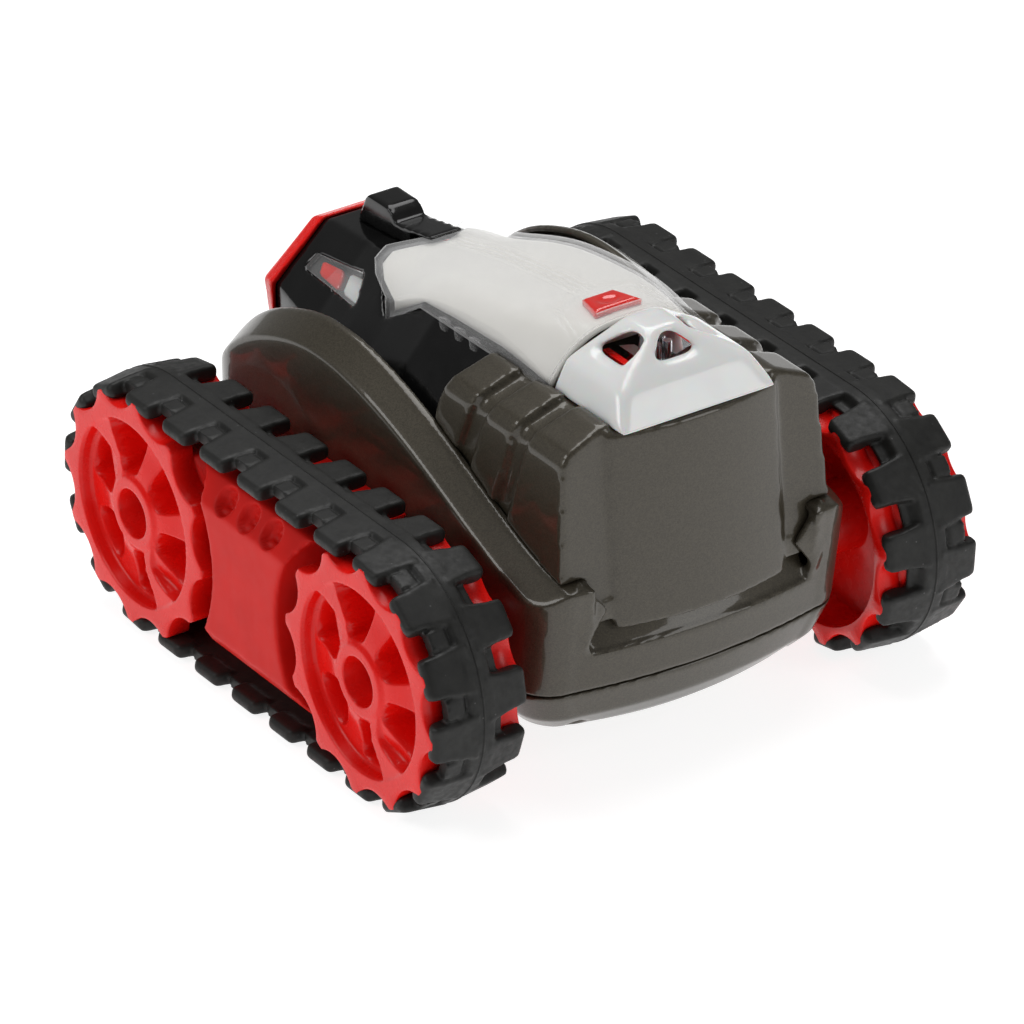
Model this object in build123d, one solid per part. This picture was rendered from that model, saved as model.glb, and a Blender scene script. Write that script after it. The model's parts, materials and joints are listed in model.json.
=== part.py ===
"""Two-track remote-controlled stunt vehicle, built as the separate pieces that it comes apart into.

Frame: +X forward (the high engine end), +Y to the vehicle's left, +Z up, origin on the ground
under the middle of the tracks. Each wheel turns about an axis along Y.
"""
import math
import os

from build123d import *

os.makedirs("parts", exist_ok=True)

# ---- driving dimensions, millimetres and degrees ----
PITCH = 21.0  # belt pitch: one lug per wheel tooth
TEETH = 12  # teeth on each rim of a wheel
WHEELBASE = 6 * PITCH  # a whole number of pitches, so both wheels mesh alike
TIP_R = 39.8  # wheel radius at the tooth tips
BELT_R = 42.5  # outer radius of the belt on a wheel
BELT_IN_R = 37.6  # inner radius of the belt
AXLE_Z = BELT_R  # height of the axles above the ground
TRACK_Y = 82.6  # centre plane of each track
WHEEL_W = 33.6  # width of a wheel over both rims
RIM_W = 8.2  # width of each toothed rim
OUTER_PHASE, INNER_PHASE = 5.0, 20.0  # first tooth of each rim, degrees forward of the top
TOOTH_STEP = 360 / TEETH

HULL_HALF_W = 57.0
HULL_FRONT, HULL_REAR = 100.0, -91.0
HULL_BOTTOM, PARTING_Z = 14.0, 34.5
WALL = 2.5
AXLE_X = {"front": WHEELBASE / 2, "rear": -WHEELBASE / 2}
SIDES = {"right": -1, "left": 1}


# ---- helpers ----
def prism_y(points, y0, y1):
    """Solid with an outline of (x, z) points, from y0 to y1."""
    wire = Wire.make_polygon([Vector(x, y0, z) for x, z in points])
    return extrude(Face(wire), amount=y1 - y0, dir=(0, 1, 0))


def prism_x(points, x0, x1):
    """Solid with an outline of (y, z) points, from x0 to x1."""
    wire = Wire.make_polygon([Vector(x0, y, z) for y, z in points])
    return extrude(Face(wire), amount=x1 - x0, dir=(1, 0, 0))


def box(x0, x1, y0, y1, z0, z1):
    return Pos((x0 + x1) / 2, (y0 + y1) / 2, (z0 + z1) / 2) * Box(x1 - x0, y1 - y0, z1 - z0)


def rod_y(x, z, radius, y0, y1):
    """Cylinder along Y."""
    return Pos(x, (y0 + y1) / 2, z) * Rot(90, 0, 0) * Cylinder(radius, abs(y1 - y0))


def rod_z(x, y, radius, z0, z1):
    return Pos(x, y, (z0 + z1) / 2) * Cylinder(radius, z1 - z0)


def outward(shape, side, x, z):
    """Stands a shape made along +Z so that its +Z points outward on that side, from the centre plane."""
    return Pos(x, 0, z) * Rot(90 if side < 0 else -90, 0, 0) * shape


def both_sides(shape):
    return [shape, mirror(shape, Plane.XZ)]


def save(name, *shapes):
    """Writes one node from the solids of all the shapes."""
    solids = [solid for shape in shapes for solid in shape.solids()]
    export_step(solids[0] if len(solids) == 1 else Compound(children=solids), f"parts/{name}.step")


# ---- wheels ----
VALLEY_R = 12.1  # radius of the scallop between two teeth
VALLEY_C = 47.2  # radius on which the scallops' centres lie
HUB_R, HUB_BORE_R = 11.2, 8.0
DISH_R = 30.6
DISH_DEPTH = 3.2
POCKET_DEPTH = 13.0
POCKET_IN_R, POCKET_OUT_R = 14.0, 28.2
HUB_FLOOR = 19.0  # bottom of the hub bore above the wheel's inner face
AXLE_R, PIN_R = 2.5, 3.0


def toothed_rim(phase):
    """Disc with pointed teeth between round valleys; phase is the first tooth's polar angle."""
    valleys = PolarLocations(VALLEY_C, TEETH, start_angle=phase + TOOTH_STEP / 2)
    return Circle(TIP_R) - [place * Circle(VALLEY_R) for place in valleys]


def web_pocket(angle, half_angle):
    """Rounded pocket outline between two spokes of the web."""
    reach = 2 * POCKET_OUT_R
    edge = math.radians(half_angle)
    wedge = Polygon((0, 0), (reach, -reach * math.tan(edge)), (reach, reach * math.tan(edge)), align=None)
    sector = (Circle(POCKET_OUT_R) - Circle(POCKET_IN_R)) & wedge
    return Rot(0, 0, angle) * fillet(sector.vertices(), 3.0)


def wheel(side, bore_r):
    """Moulded wheel about Z: inner face at 0, outer face at WHEEL_W."""
    turn = 1 if side < 0 else -1
    outer = toothed_rim(turn * (90 - OUTER_PHASE))
    inner = toothed_rim(turn * (90 - INNER_PHASE))
    body = extrude(inner, RIM_W) + Pos(0, 0, WHEEL_W - RIM_W) * extrude(outer, RIM_W)
    body += Pos(0, 0, WHEEL_W / 2) * Cylinder(BELT_IN_R - 0.6, WHEEL_W - 2 * RIM_W)
    dish = Cylinder(DISH_R, DISH_DEPTH) - Cylinder(HUB_R, DISH_DEPTH)
    body -= Pos(0, 0, WHEEL_W - DISH_DEPTH / 2) * dish
    pockets = [web_pocket(turn * angle, 21) for angle in range(30, 390, 60)]
    body -= Pos(0, 0, WHEEL_W - POCKET_DEPTH) * extrude(Sketch() + pockets, POCKET_DEPTH)
    back = Cylinder(DISH_R + 2, 14) - Cylinder(HUB_R, 14)
    body -= Pos(0, 0, 7) * back
    body -= Pos(0, 0, (HUB_FLOOR + WHEEL_W) / 2) * Cylinder(HUB_BORE_R, WHEEL_W - HUB_FLOOR)
    body -= Pos(0, 0, HUB_FLOOR / 2) * Cylinder(bore_r, HUB_FLOOR + 1)
    return body


# ---- belts ----
BAND_OUT_Y, BAND_IN_Y = 90.9, 74.3  # edges of the band that runs between the rims
CROWN_HALF = 5.0
LUG_LENGTH = 12.2
LUG_BOTTOM_R = 36.0
LUG_TIP_R = 40.7
PAD_LENGTH, PAD_OUT_Y, PAD_IN_Y = 7.0, 94.5, 86.5


def belt_place(pitches):
    """Location on the belt path, its Z outward, that many pitches from the top of the front wheel."""
    lap = pitches % 24
    if lap < 6:
        x, angle = AXLE_X["front"], 30 * lap
    elif lap < 12:
        x, angle = AXLE_X["front"] - (lap - 6) * PITCH, 180
    elif lap < 18:
        x, angle = AXLE_X["rear"], 30 * (lap - 6)
    else:
        x, angle = AXLE_X["rear"] + (lap - 18) * PITCH, 0
    return Pos(x, 0, AXLE_Z) * Rot(0, angle, 0)


def band_section(x):
    """Crowned section of the band at the top of a wheel, as a face across the belt."""
    edge_r = BELT_R - 1.2
    middle = -(BAND_OUT_Y + BAND_IN_Y) / 2
    radii = [
        (-BAND_OUT_Y, BELT_IN_R), (-BAND_OUT_Y, edge_r), (middle - CROWN_HALF, BELT_R),
        (middle + CROWN_HALF, BELT_R), (-BAND_IN_Y, edge_r), (-BAND_IN_Y, BELT_IN_R),
    ]
    return Face(Wire.make_polygon([Vector(x, y, AXLE_Z + r) for y, r in radii]))


def lug(y_root, y_tip):
    """Tread lug at the top of the path, from inside the band out to the rim's face."""
    half, corner = LUG_LENGTH / 2, 3.4
    outline = [
        (-half, LUG_BOTTOM_R + corner), (-half, BELT_R), (half, BELT_R), (half, LUG_BOTTOM_R + corner),
        (half - corner * 0.35, LUG_BOTTOM_R + corner * 0.35), (half - corner, LUG_BOTTOM_R),
        (corner - half, LUG_BOTTOM_R), (corner * 0.35 - half, LUG_BOTTOM_R + corner * 0.35),
    ]
    solid = prism_y(outline, min(y_root, y_tip), max(y_root, y_tip))
    outward_sign = 1 if y_tip > y_root else -1
    root_r = BELT_R - 0.7
    slope = [
        (y_root - outward_sign, root_r), (y_tip + outward_sign, LUG_TIP_R - 0.1),
        (y_tip + outward_sign, BELT_R + 2), (y_root - outward_sign, BELT_R + 2),
    ]
    tip_bevel = [
        (y_tip - 2.2 * outward_sign, LUG_BOTTOM_R - 1), (y_tip + outward_sign, LUG_BOTTOM_R + 2.2),
        (y_tip + outward_sign, LUG_BOTTOM_R - 1),
    ]
    y_drum = y_tip - outward_sign * (RIM_W - 0.3)
    over_drum = [
        (y_root - outward_sign, LUG_BOTTOM_R - 1), (y_drum, LUG_BOTTOM_R - 1),
        (y_drum, BELT_IN_R), (y_root - outward_sign, BELT_IN_R),
    ]
    for outline in (slope, tip_bevel, over_drum):
        solid -= prism_x(outline, -LUG_LENGTH, LUG_LENGTH)
    return solid


def belt(first_lug):
    """Right-hand belt; first_lug is where the first lug of its -Y edge lies, in pitches."""
    front, rear = AXLE_X["front"], AXLE_X["rear"]
    turn = revolve(band_section(front), Axis((front, 0, AXLE_Z), (0, 1, 0)), 180)
    run = extrude(band_section(rear), amount=WHEELBASE, dir=(1, 0, 0))
    half_turn = Pos(0, 0, AXLE_Z) * Rot(0, 180, 0) * Pos(0, 0, -AXLE_Z)
    band = turn + run + half_turn * turn + half_turn * run
    outer = lug(-BAND_OUT_Y + 3, -(TRACK_Y + WHEEL_W / 2))
    inner = lug(-BAND_IN_Y - 3, -(TRACK_Y - WHEEL_W / 2))
    pad = box(-PAD_LENGTH / 2, PAD_LENGTH / 2, -PAD_OUT_Y, -PAD_IN_Y, BELT_R - 2.1, BELT_R - 0.6)
    pieces = []
    for count in range(24):
        pieces.append(belt_place(first_lug + count) * outer)
        pieces.append(belt_place(first_lug + count + 0.5) * inner)
        pieces.append(belt_place(first_lug + count + 0.5) * pad)
    return band + pieces


for name, side in SIDES.items():
    first = OUTER_PHASE if side > 0 else INNER_PHASE
    made = belt(first / TOOTH_STEP)
    save(f"track_belt_{name}", made if side < 0 else Pos(0, 2 * TRACK_Y, 0) * made)
    for end, x in AXLE_X.items():
        bore = AXLE_R if end == "front" else PIN_R + 0.2
        stand = outward(Pos(0, 0, TRACK_Y - WHEEL_W / 2) * wheel(side, bore), side, x, AXLE_Z)
        save(f"{end}_wheel_{name}", stand)


# ---- side pods and track frames ----
POD_CLEAR_R = 45.0  # the pod's ends follow each wheel at this radius
POD_HALF_H, POD_FACE_HALF_H = 30.5, 22.0
POD_INNER_Y, POD_BEVEL_Y = 73.0, 93.0
POD_FACE_Y = TRACK_Y + WHEEL_W / 2
FRAME_IN_Y, FRAME_OUT_Y = HULL_HALF_W, 64.9
BOSS_R = 13.0
BUSH_R = 5.0


def pod_outline(clear_r, half_height):
    """Hourglass between the wheels, as a sketch in X and height above the axles."""
    waist = Rectangle(WHEELBASE, 2 * half_height)
    return waist - [Pos(x, 0) * Circle(clear_r) for x in AXLE_X.values()]


def upright(sketch, y0, y1, z=AXLE_Z):
    """Extrudes a sketch drawn in X and Z from y0 to y1."""
    stood = Pos(0, y0, z) * Rot(90, 0, 0) * sketch
    return extrude(stood, amount=y1 - y0, dir=(0, 1, 0))


def side_pod():
    """Left-hand pod cover, open towards the frame."""
    body = upright(pod_outline(POD_CLEAR_R, POD_HALF_H), POD_INNER_Y, POD_FACE_Y)
    for sign in (1, -1):
        bevel = [
            (POD_FACE_Y, AXLE_Z + sign * POD_FACE_HALF_H), (POD_BEVEL_Y, AXLE_Z + sign * POD_HALF_H),
            (POD_FACE_Y, AXLE_Z + sign * (POD_HALF_H + 1)),
        ]
        body -= prism_x(bevel, -40, 40)
    hollow = upright(pod_outline(POD_CLEAR_R + WALL, POD_HALF_H - WALL), POD_INNER_Y - 1, POD_BEVEL_Y)
    body -= hollow
    for x in (-13, 0, 13):
        dimple = Pos(x, POD_FACE_Y - 1.6, AXLE_Z + 27.6) * Rot(55, 0, 0) * scale(Sphere(3.4), (1, 1.35, 0.6))
        body -= dimple
    for z in (AXLE_Z - 14, AXLE_Z + 14):
        body += rod_y(0, z, 4, POD_INNER_Y, POD_BEVEL_Y + 1) - rod_y(0, z, 1.3, POD_INNER_Y, 86)
    for x, z0, z1 in ((-6, -12, 14), (6, -12, 14)):
        body -= box(x - 0.4, x + 0.4, POD_FACE_Y - 0.5, POD_FACE_Y + 1, AXLE_Z + z0, AXLE_Z + z1)
    return body


def track_frame():
    """Left-hand beam that carries both wheels of a track and the pod."""
    beam = box(AXLE_X["rear"], AXLE_X["front"], FRAME_IN_Y, FRAME_OUT_Y, AXLE_Z - 9, AXLE_Z + 9)
    for x in AXLE_X.values():
        beam += rod_y(x, AXLE_Z, BOSS_R, FRAME_IN_Y, FRAME_OUT_Y)
    block = pod_outline(POD_CLEAR_R + 0.5, POD_HALF_H - 4)
    beam += upright(block, FRAME_IN_Y, POD_INNER_Y)
    beam -= upright(pod_outline(POD_CLEAR_R + 3.5, POD_HALF_H - 7), FRAME_IN_Y + 3, POD_INNER_Y - 3)
    beam -= rod_y(AXLE_X["front"], AXLE_Z, BUSH_R, FRAME_IN_Y - 1, FRAME_OUT_Y + 1)
    beam -= rod_y(AXLE_X["rear"], AXLE_Z, PIN_R, FRAME_IN_Y + 2, FRAME_OUT_Y + 1)
    for z in (AXLE_Z - 14, AXLE_Z + 14):
        beam += rod_y(0, z, 3.5, FRAME_IN_Y, POD_INNER_Y)
        beam -= rod_y(0, z, 1.3, FRAME_IN_Y + 2.4, POD_INNER_Y + 1)
        beam -= rod_y(0, z, 2.6, FRAME_IN_Y - 1, FRAME_IN_Y + 2.4)
    for x in FRAME_SCREW_X:
        beam -= rod_y(x, AXLE_Z, 1.5, FRAME_IN_Y - 1, FRAME_OUT_Y + 1)
        beam -= rod_y(x, AXLE_Z, 2.9, FRAME_OUT_Y - 2, FRAME_OUT_Y + 1)
    return beam


def screw(head_r, shank_r, length, head_h=2.0):
    """Pan-head screw along Z: seat of the head at 0, shank below it, cross recess on top."""
    body = Pos(0, 0, head_h / 2) * Cylinder(head_r, head_h)
    body += Pos(0, 0, -length / 2) * Cylinder(shank_r, length)
    slot = Box(head_r * 1.3, 0.7, head_h) + Box(0.7, head_r * 1.3, head_h)
    return body - Pos(0, 0, head_h) * slot


FRAME_SCREW_X = (-38, 38)
pod = side_pod()
frame = track_frame()
bush = rod_y(AXLE_X["front"], AXLE_Z, BUSH_R, FRAME_IN_Y, FRAME_OUT_Y)
bush -= rod_y(AXLE_X["front"], AXLE_Z, AXLE_R + 0.1, FRAME_IN_Y - 1, FRAME_OUT_Y + 1)
pin_end = TRACK_Y - WHEEL_W / 2 + HUB_FLOOR + 0.4
pin = rod_y(AXLE_X["rear"], AXLE_Z, PIN_R, FRAME_IN_Y + 2, pin_end)
pin -= rod_y(AXLE_X["rear"], AXLE_Z, 1.3, pin_end - 10, pin_end + 1)
retainer = screw(6.0, 1.3, 9, head_h=2.4)
frame_screw = screw(2.8, 1.5, 10.5, head_h=1.9)
pod_screw = screw(2.5, 1.3, 24.5, head_h=2.2)


def facing_out(shape, x, y, z):
    """Screw on the left side with its head outward."""
    return Pos(x, y, z) * Rot(-90, 0, 0) * shape


frame_screws = [facing_out(frame_screw, x, FRAME_OUT_Y - 2, AXLE_Z) for x in FRAME_SCREW_X]
pod_screws = []
for z in (AXLE_Z - 14, AXLE_Z + 14):
    pod_screws.append(Pos(0, FRAME_IN_Y + 2.4, z) * Rot(90, 0, 0) * pod_screw)
idler_retainer = facing_out(retainer, AXLE_X["rear"], pin_end, AXLE_Z)
drive_screw = facing_out(retainer, AXLE_X["front"], pin_end, AXLE_Z)

for name, part in zip(("left", "right"), both_sides(pod)):
    save(f"side_pod_{name}", part)
for name, part in zip(("left", "right"), both_sides(frame)):
    save(f"track_frame_{name}", part)
save("axle_bushes", *both_sides(bush))
save("idler_pins", *both_sides(pin))
save("idler_screws", *both_sides(idler_retainer))
save("frame_screws", *[part for one in frame_screws for part in both_sides(one)])
save("pod_screws", *[part for one in pod_screws for part in both_sides(one)])
for name, part in zip(("left", "right"), both_sides(drive_screw)):
    save(f"drive_screw_{name}", part)


# ---- drive train, one each side ----
MODULE_FAST, MODULE_SLOW = 0.6, 0.8
PINION_TEETH, WHEEL_TEETH, SMALL_TEETH, AXLE_TEETH = 12, 36, 12, 32
BACKLASH = 0.16
PRESSURE = math.radians(25)
LAY_ANGLE = math.radians(20)
LAY_PITCH = MODULE_SLOW * (SMALL_TEETH + AXLE_TEETH) / 2
LAY_X = AXLE_X["front"] - LAY_PITCH * math.cos(LAY_ANGLE)
LAY_Z = AXLE_Z + LAY_PITCH * math.sin(LAY_ANGLE)
MOTOR_X = LAY_X - MODULE_FAST * (PINION_TEETH + WHEEL_TEETH) / 2
MOTOR_Z = LAY_Z
CASE_IN_Y, CASE_OUT_Y, CASE_WALL = 39.3, 51.3, 1.3
MOTOR_LENGTH = 25.0


def gear(teeth, module, width, phase, bore_r):
    """Involute spur gear along Z with backlash; phase is one tooth's polar angle in degrees."""
    pitch_r = teeth * module / 2
    base_r = pitch_r * math.cos(PRESSURE)
    tip_r = pitch_r + 0.85 * module
    root_r = pitch_r - 1.1 * module
    half_pitch_angle = (math.pi * module / 2 - BACKLASH) / (2 * pitch_r)

    def flank_angle(radius):
        """Half the angle that the tooth fills at this radius."""
        def involute(angle):
            return math.tan(angle) - angle
        lean = math.acos(min(1.0, base_r / max(radius, base_r)))
        return half_pitch_angle + involute(PRESSURE) - involute(lean)

    start_r = max(root_r, base_r)
    radii = [start_r + (tip_r - start_r) * step / 4 for step in range(5)]
    points = []
    for tooth in range(teeth):
        centre = math.radians(phase) + tooth * 2 * math.pi / teeth
        foot = flank_angle(start_r)
        flank = [(root_r, foot)] + [(radius, flank_angle(radius)) for radius in radii]
        points += [(radius, centre - angle) for radius, angle in flank]
        points += [(radius, centre + angle) for radius, angle in reversed(flank)]
    outline = Polygon(*[(r * math.cos(a), r * math.sin(a)) for r, a in points], align=None)
    return extrude(outline, width) - Pos(0, 0, width / 2) * Cylinder(bore_r, width + 1)


def stood_gear(teeth, module, y0, y1, x, z, phase, bore_r):
    """Gear between y0 and y1 on the left side; phase is measured from +X towards -Z."""
    return Pos(x, y0, z) * Rot(-90, 0, 0) * gear(teeth, module, y1 - y0, phase, bore_r)


# Seen along +Y from outside, local angles run from +X towards -Z.
axle_mesh = math.degrees(math.atan2(-(LAY_Z - AXLE_Z), LAY_X - AXLE_X["front"]))
axle_gear = stood_gear(AXLE_TEETH, MODULE_SLOW, 41.5, 45.5, AXLE_X["front"], AXLE_Z, axle_mesh, AXLE_R)
small_gear = stood_gear(
    SMALL_TEETH, MODULE_SLOW, 41.2, 46.5, LAY_X, LAY_Z, axle_mesh + 180 + 180 / SMALL_TEETH, 1.1
)
big_gear = stood_gear(WHEEL_TEETH, MODULE_FAST, 46.5, 49.5, LAY_X, LAY_Z, 180, 1.1)
cluster = small_gear + big_gear
pinion = stood_gear(PINION_TEETH, MODULE_FAST, 46.2, 49.8, MOTOR_X, MOTOR_Z, 180 / PINION_TEETH, 1.0)
motor_shaft = rod_y(MOTOR_X, MOTOR_Z, 1.0, CASE_IN_Y - 1, 49.9)

drive_axle = rod_y(AXLE_X["front"], AXLE_Z, AXLE_R, CASE_IN_Y + 0.3, pin_end)
drive_axle -= rod_y(AXLE_X["front"], AXLE_Z, 1.3, pin_end - 10, pin_end + 1)


CASE_X0, CASE_X1, CASE_Z0, CASE_Z1 = 26.4, 78.5, 27.4, 61.7
CASE_BOSS_XZ = [(x, z) for x in (CASE_X0 + 2.2, CASE_X1 - 2.2) for z in (CASE_Z0 + 3.4, CASE_Z1 - 2.2)]
CASE_SPLIT_Y = CASE_OUT_Y - CASE_WALL


def gearbox():
    """Left-hand tray round the gears, which the motor bolts to, and the cover that closes it."""
    tray = box(CASE_X0, CASE_X1, CASE_IN_Y, CASE_SPLIT_Y, CASE_Z0, CASE_Z1)
    tray -= box(CASE_X0 + CASE_WALL, CASE_X1 - CASE_WALL, CASE_IN_Y + CASE_WALL, CASE_SPLIT_Y + 1,
                CASE_Z0 + CASE_WALL, CASE_Z1 - CASE_WALL)
    cover = box(CASE_X0, CASE_X1, CASE_SPLIT_Y, CASE_OUT_Y, CASE_Z0, CASE_Z1)
    for x, z in CASE_BOSS_XZ:
        tray += box(x - 2, x + 2, CASE_IN_Y + 0.5, CASE_SPLIT_Y, z - 2, z + 2)
        tray -= rod_y(x, z, 0.9, CASE_IN_Y + 3, CASE_SPLIT_Y + 1)
        cover -= rod_y(x, z, 0.9, CASE_SPLIT_Y - 1, CASE_OUT_Y + 1)
    tray += rod_y(LAY_X, LAY_Z, 1.0, CASE_IN_Y + 0.5, CASE_SPLIT_Y)
    tray -= rod_y(AXLE_X["front"], AXLE_Z, AXLE_R + 0.15, CASE_IN_Y - 1, CASE_OUT_Y + 1)
    tray -= rod_y(MOTOR_X, MOTOR_Z, 3.1, CASE_IN_Y - 1, CASE_IN_Y + CASE_WALL + 0.1)
    return tray, cover - rod_y(AXLE_X["front"], AXLE_Z, AXLE_R + 0.15, CASE_IN_Y - 1, CASE_OUT_Y + 1)


def motor():
    """Flat-sided can motor with its end bell and nose."""
    y1, y0 = CASE_IN_Y, CASE_IN_Y - MOTOR_LENGTH
    can = rod_y(MOTOR_X, MOTOR_Z, 10, y0 + 4, y1)
    can &= box(MOTOR_X - 12, MOTOR_X + 12, y0, y1, MOTOR_Z - 7.5, MOTOR_Z + 7.5)
    nose = rod_y(MOTOR_X, MOTOR_Z, 3.0, y1, y1 + 1.2)
    bell = rod_y(MOTOR_X, MOTOR_Z, 9, y0, y0 + 4) & box(MOTOR_X - 12, MOTOR_X + 12, y0, y1,
                                                        MOTOR_Z - 6.5, MOTOR_Z + 6.5)
    return can + nose + bell - rod_y(MOTOR_X, MOTOR_Z, 1.1, y1 - 2, y1 + 2)


def save_pair(node, shape):
    for name, part in zip(("left", "right"), both_sides(shape)):
        save(f"{node}_{name}", part)


save_pair("axle_gear", axle_gear)
save_pair("gear_cluster", cluster)
save_pair("motor_pinion", pinion + motor_shaft)
save_pair("drive_axle", drive_axle)
gearbox_tray, gearbox_cover = gearbox()
save_pair("gearbox_case", gearbox_tray)
save_pair("gearbox_cover", gearbox_cover)
case_screw = screw(1.9, 0.8, 7.0, 1.0)
case_screws = [facing_out(case_screw, x, CASE_OUT_Y, z) for x, z in CASE_BOSS_XZ]
save("gearbox_screws", *[part for one in case_screws for part in both_sides(one)])
save_pair("drive_motor", motor())


# ---- hull ----
SILL_Z = 48.5
NOSE_LEAN = 0.173  # the nose leans forward by this share of its height
RIDGE_HALF_W = 48.5
BAND_DROP = 7.0  # the sloped band falls this far from the ridge to the side
HORN_IN_Y = 40.0
RIDGE_X_Z = [
    (-88, 62), (-85, 74), (-77, 86), (-64, 97), (-48, 104.5), (-30, 109), (-12, 109), (6, 105.5),
    (30, 97.5), (60, 84.5), (97, 73),
]


def plan_outline(z, inset=0.0, lean=0.0):
    """Hull outline seen from above, as a face at height z."""
    half = HULL_HALF_W - inset
    front, rear = HULL_FRONT - inset + lean, HULL_REAR + inset
    corner_f, corner_r = 13.0, 20.0
    bow = 5.0  # the nose is this much further forward in the middle
    a = (front - bow, half - corner_f)
    b = (front - bow - corner_f, half)
    c = (rear + corner_r, half)
    d = (rear, half - corner_r)
    diagonal = math.sqrt(0.5)

    def corner(x, y, radius, toward):
        return (x + toward * radius * diagonal, y + radius * diagonal)

    nose_mid = corner(b[0], a[1], corner_f, 1)
    tail_mid = corner(c[0], d[1], corner_r, -1)

    def at(point, sign=1):
        return (point[0], sign * point[1], z)

    edges = [
        ThreePointArc(at(a, -1), (front, 0, z), at(a)),
        ThreePointArc(at(a), at(nose_mid), at(b)),
        Line(at(b), at(c)),
        ThreePointArc(at(c), at(tail_mid), at(d)),
        Line(at(d), at(d, -1)),
        ThreePointArc(at(d, -1), at(tail_mid, -1), at(c, -1)),
        Line(at(c, -1), at(b, -1)),
        ThreePointArc(at(b, -1), at(nose_mid, -1), at(a, -1)),
    ]
    return Face(Wire(edges))


def ridge_profile(y, drop):
    """Side view of the upper hull with its curved top lowered by drop, as a face at y."""
    top = [(x, y, z - drop) for x, z in RIDGE_X_Z]
    first, last = top[0], top[-1]
    front, rear = last[0] + 12, HULL_REAR - 3
    corners = [
        last, (front, y, last[2] - 2), (front, y, PARTING_Z), (rear, y, PARTING_Z),
        (rear, y, first[2] - 12), first,
    ]
    sides = [Line(a, b) for a, b in zip(corners, corners[1:])]
    return Face(Wire([Spline(*top)] + sides))


def upper_volume(inset):
    """Upper hull as a solid: a plan outline that leans forward at the nose, under the arched ridge."""
    top_z = 120.0
    lean = NOSE_LEAN * (top_z - PARTING_Z)
    plan = loft([plan_outline(PARTING_Z, inset), plan_outline(top_z, inset, lean)], ruled=True)
    stations = [
        (-HULL_HALF_W, BAND_DROP), (-RIDGE_HALF_W, 0), (RIDGE_HALF_W, 0), (HULL_HALF_W, BAND_DROP),
    ]
    arch = loft([ridge_profile(y, drop + inset) for y, drop in stations], ruled=True)
    return arch & plan


def lower_volume(inset, bottom):
    """Lower hull as a solid: it rounds in towards a flat belly."""
    levels = [(0.0, 14.0), (4.0, 8.6), (10.0, 3.6), (PARTING_Z - HULL_BOTTOM, 0.0)]
    faces = [plan_outline(max(HULL_BOTTOM + rise, bottom), more + inset) for rise, more in levels]
    return loft(faces, ruled=True)


HULL_SCREW_XY = [(84, 37), (84, -37), (-76, 36), (-76, -36)]
SCREW_SEAT_Z, SCREW_LENGTH = 24.0, 19.0
BAY_X0, BAY_X1, BAY_HALF_W, BAY_TOP = -40.0, 22.0, 25.0, 38.0
BAY_LEDGE = 2.0
DOOR_SCREW_X = 17.0
BOARD_Z = 46.0
BOARD_POST_XY = [(-34, 20), (-34, -20), (16, 20), (16, -20)]
DOOR_THICK = 3.0
SWITCH_X, SWITCH_TRAVEL = -62.0, 4.0


def lower_hull():
    solid = lower_volume(0, HULL_BOTTOM)
    shell = solid - lower_volume(WALL, HULL_BOTTOM + WALL)
    x0, x1, half = BAY_X0 - BAY_LEDGE, BAY_X1 + BAY_LEDGE, BAY_HALF_W + BAY_LEDGE
    shell += box(x0 - 2, x1 + 2, -half - 2, half + 2, HULL_BOTTOM, HULL_BOTTOM + 5)
    shell += box(x0, x1, -half, half, HULL_BOTTOM, BAY_TOP + 2)
    shell -= box(BAY_X0, BAY_X1, -BAY_HALF_W, BAY_HALF_W, HULL_BOTTOM - 1, BAY_TOP)
    shell -= box(x0, x1, -half, half, HULL_BOTTOM - 1, HULL_BOTTOM + DOOR_THICK)
    for x, y in BOARD_POST_XY:
        shell += rod_z(x, y, 2.6, BAY_TOP + 1, BOARD_Z) - rod_z(x, y, 0.9, BAY_TOP + 2, BOARD_Z)
    shell += rod_z(DOOR_SCREW_X, 0, 3.2, HULL_BOTTOM + DOOR_THICK, BAY_TOP + 0.5)
    shell -= rod_z(DOOR_SCREW_X, 0, 1.25, HULL_BOTTOM, BAY_TOP - 6)
    for x, y in HULL_SCREW_XY:
        shell += rod_z(x, y, 5.0, HULL_BOTTOM + 2, PARTING_Z) & solid
        shell -= rod_z(x, y, 4.0, HULL_BOTTOM - 1, SCREW_SEAT_Z)
        shell -= rod_z(x, y, 1.5, SCREW_SEAT_Z - 1, PARTING_Z + 1)
    for slot in range(-3, 4):
        shell -= box(76, 84, slot * 7 - 1.6, slot * 7 + 1.6, HULL_BOTTOM - 1, HULL_BOTTOM + 4)
    x0, x1 = SWITCH_X - 5, SWITCH_X + 5
    return shell - box(x0, x1, -3, 3, HULL_BOTTOM - 1, HULL_BOTTOM + 3)


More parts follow.
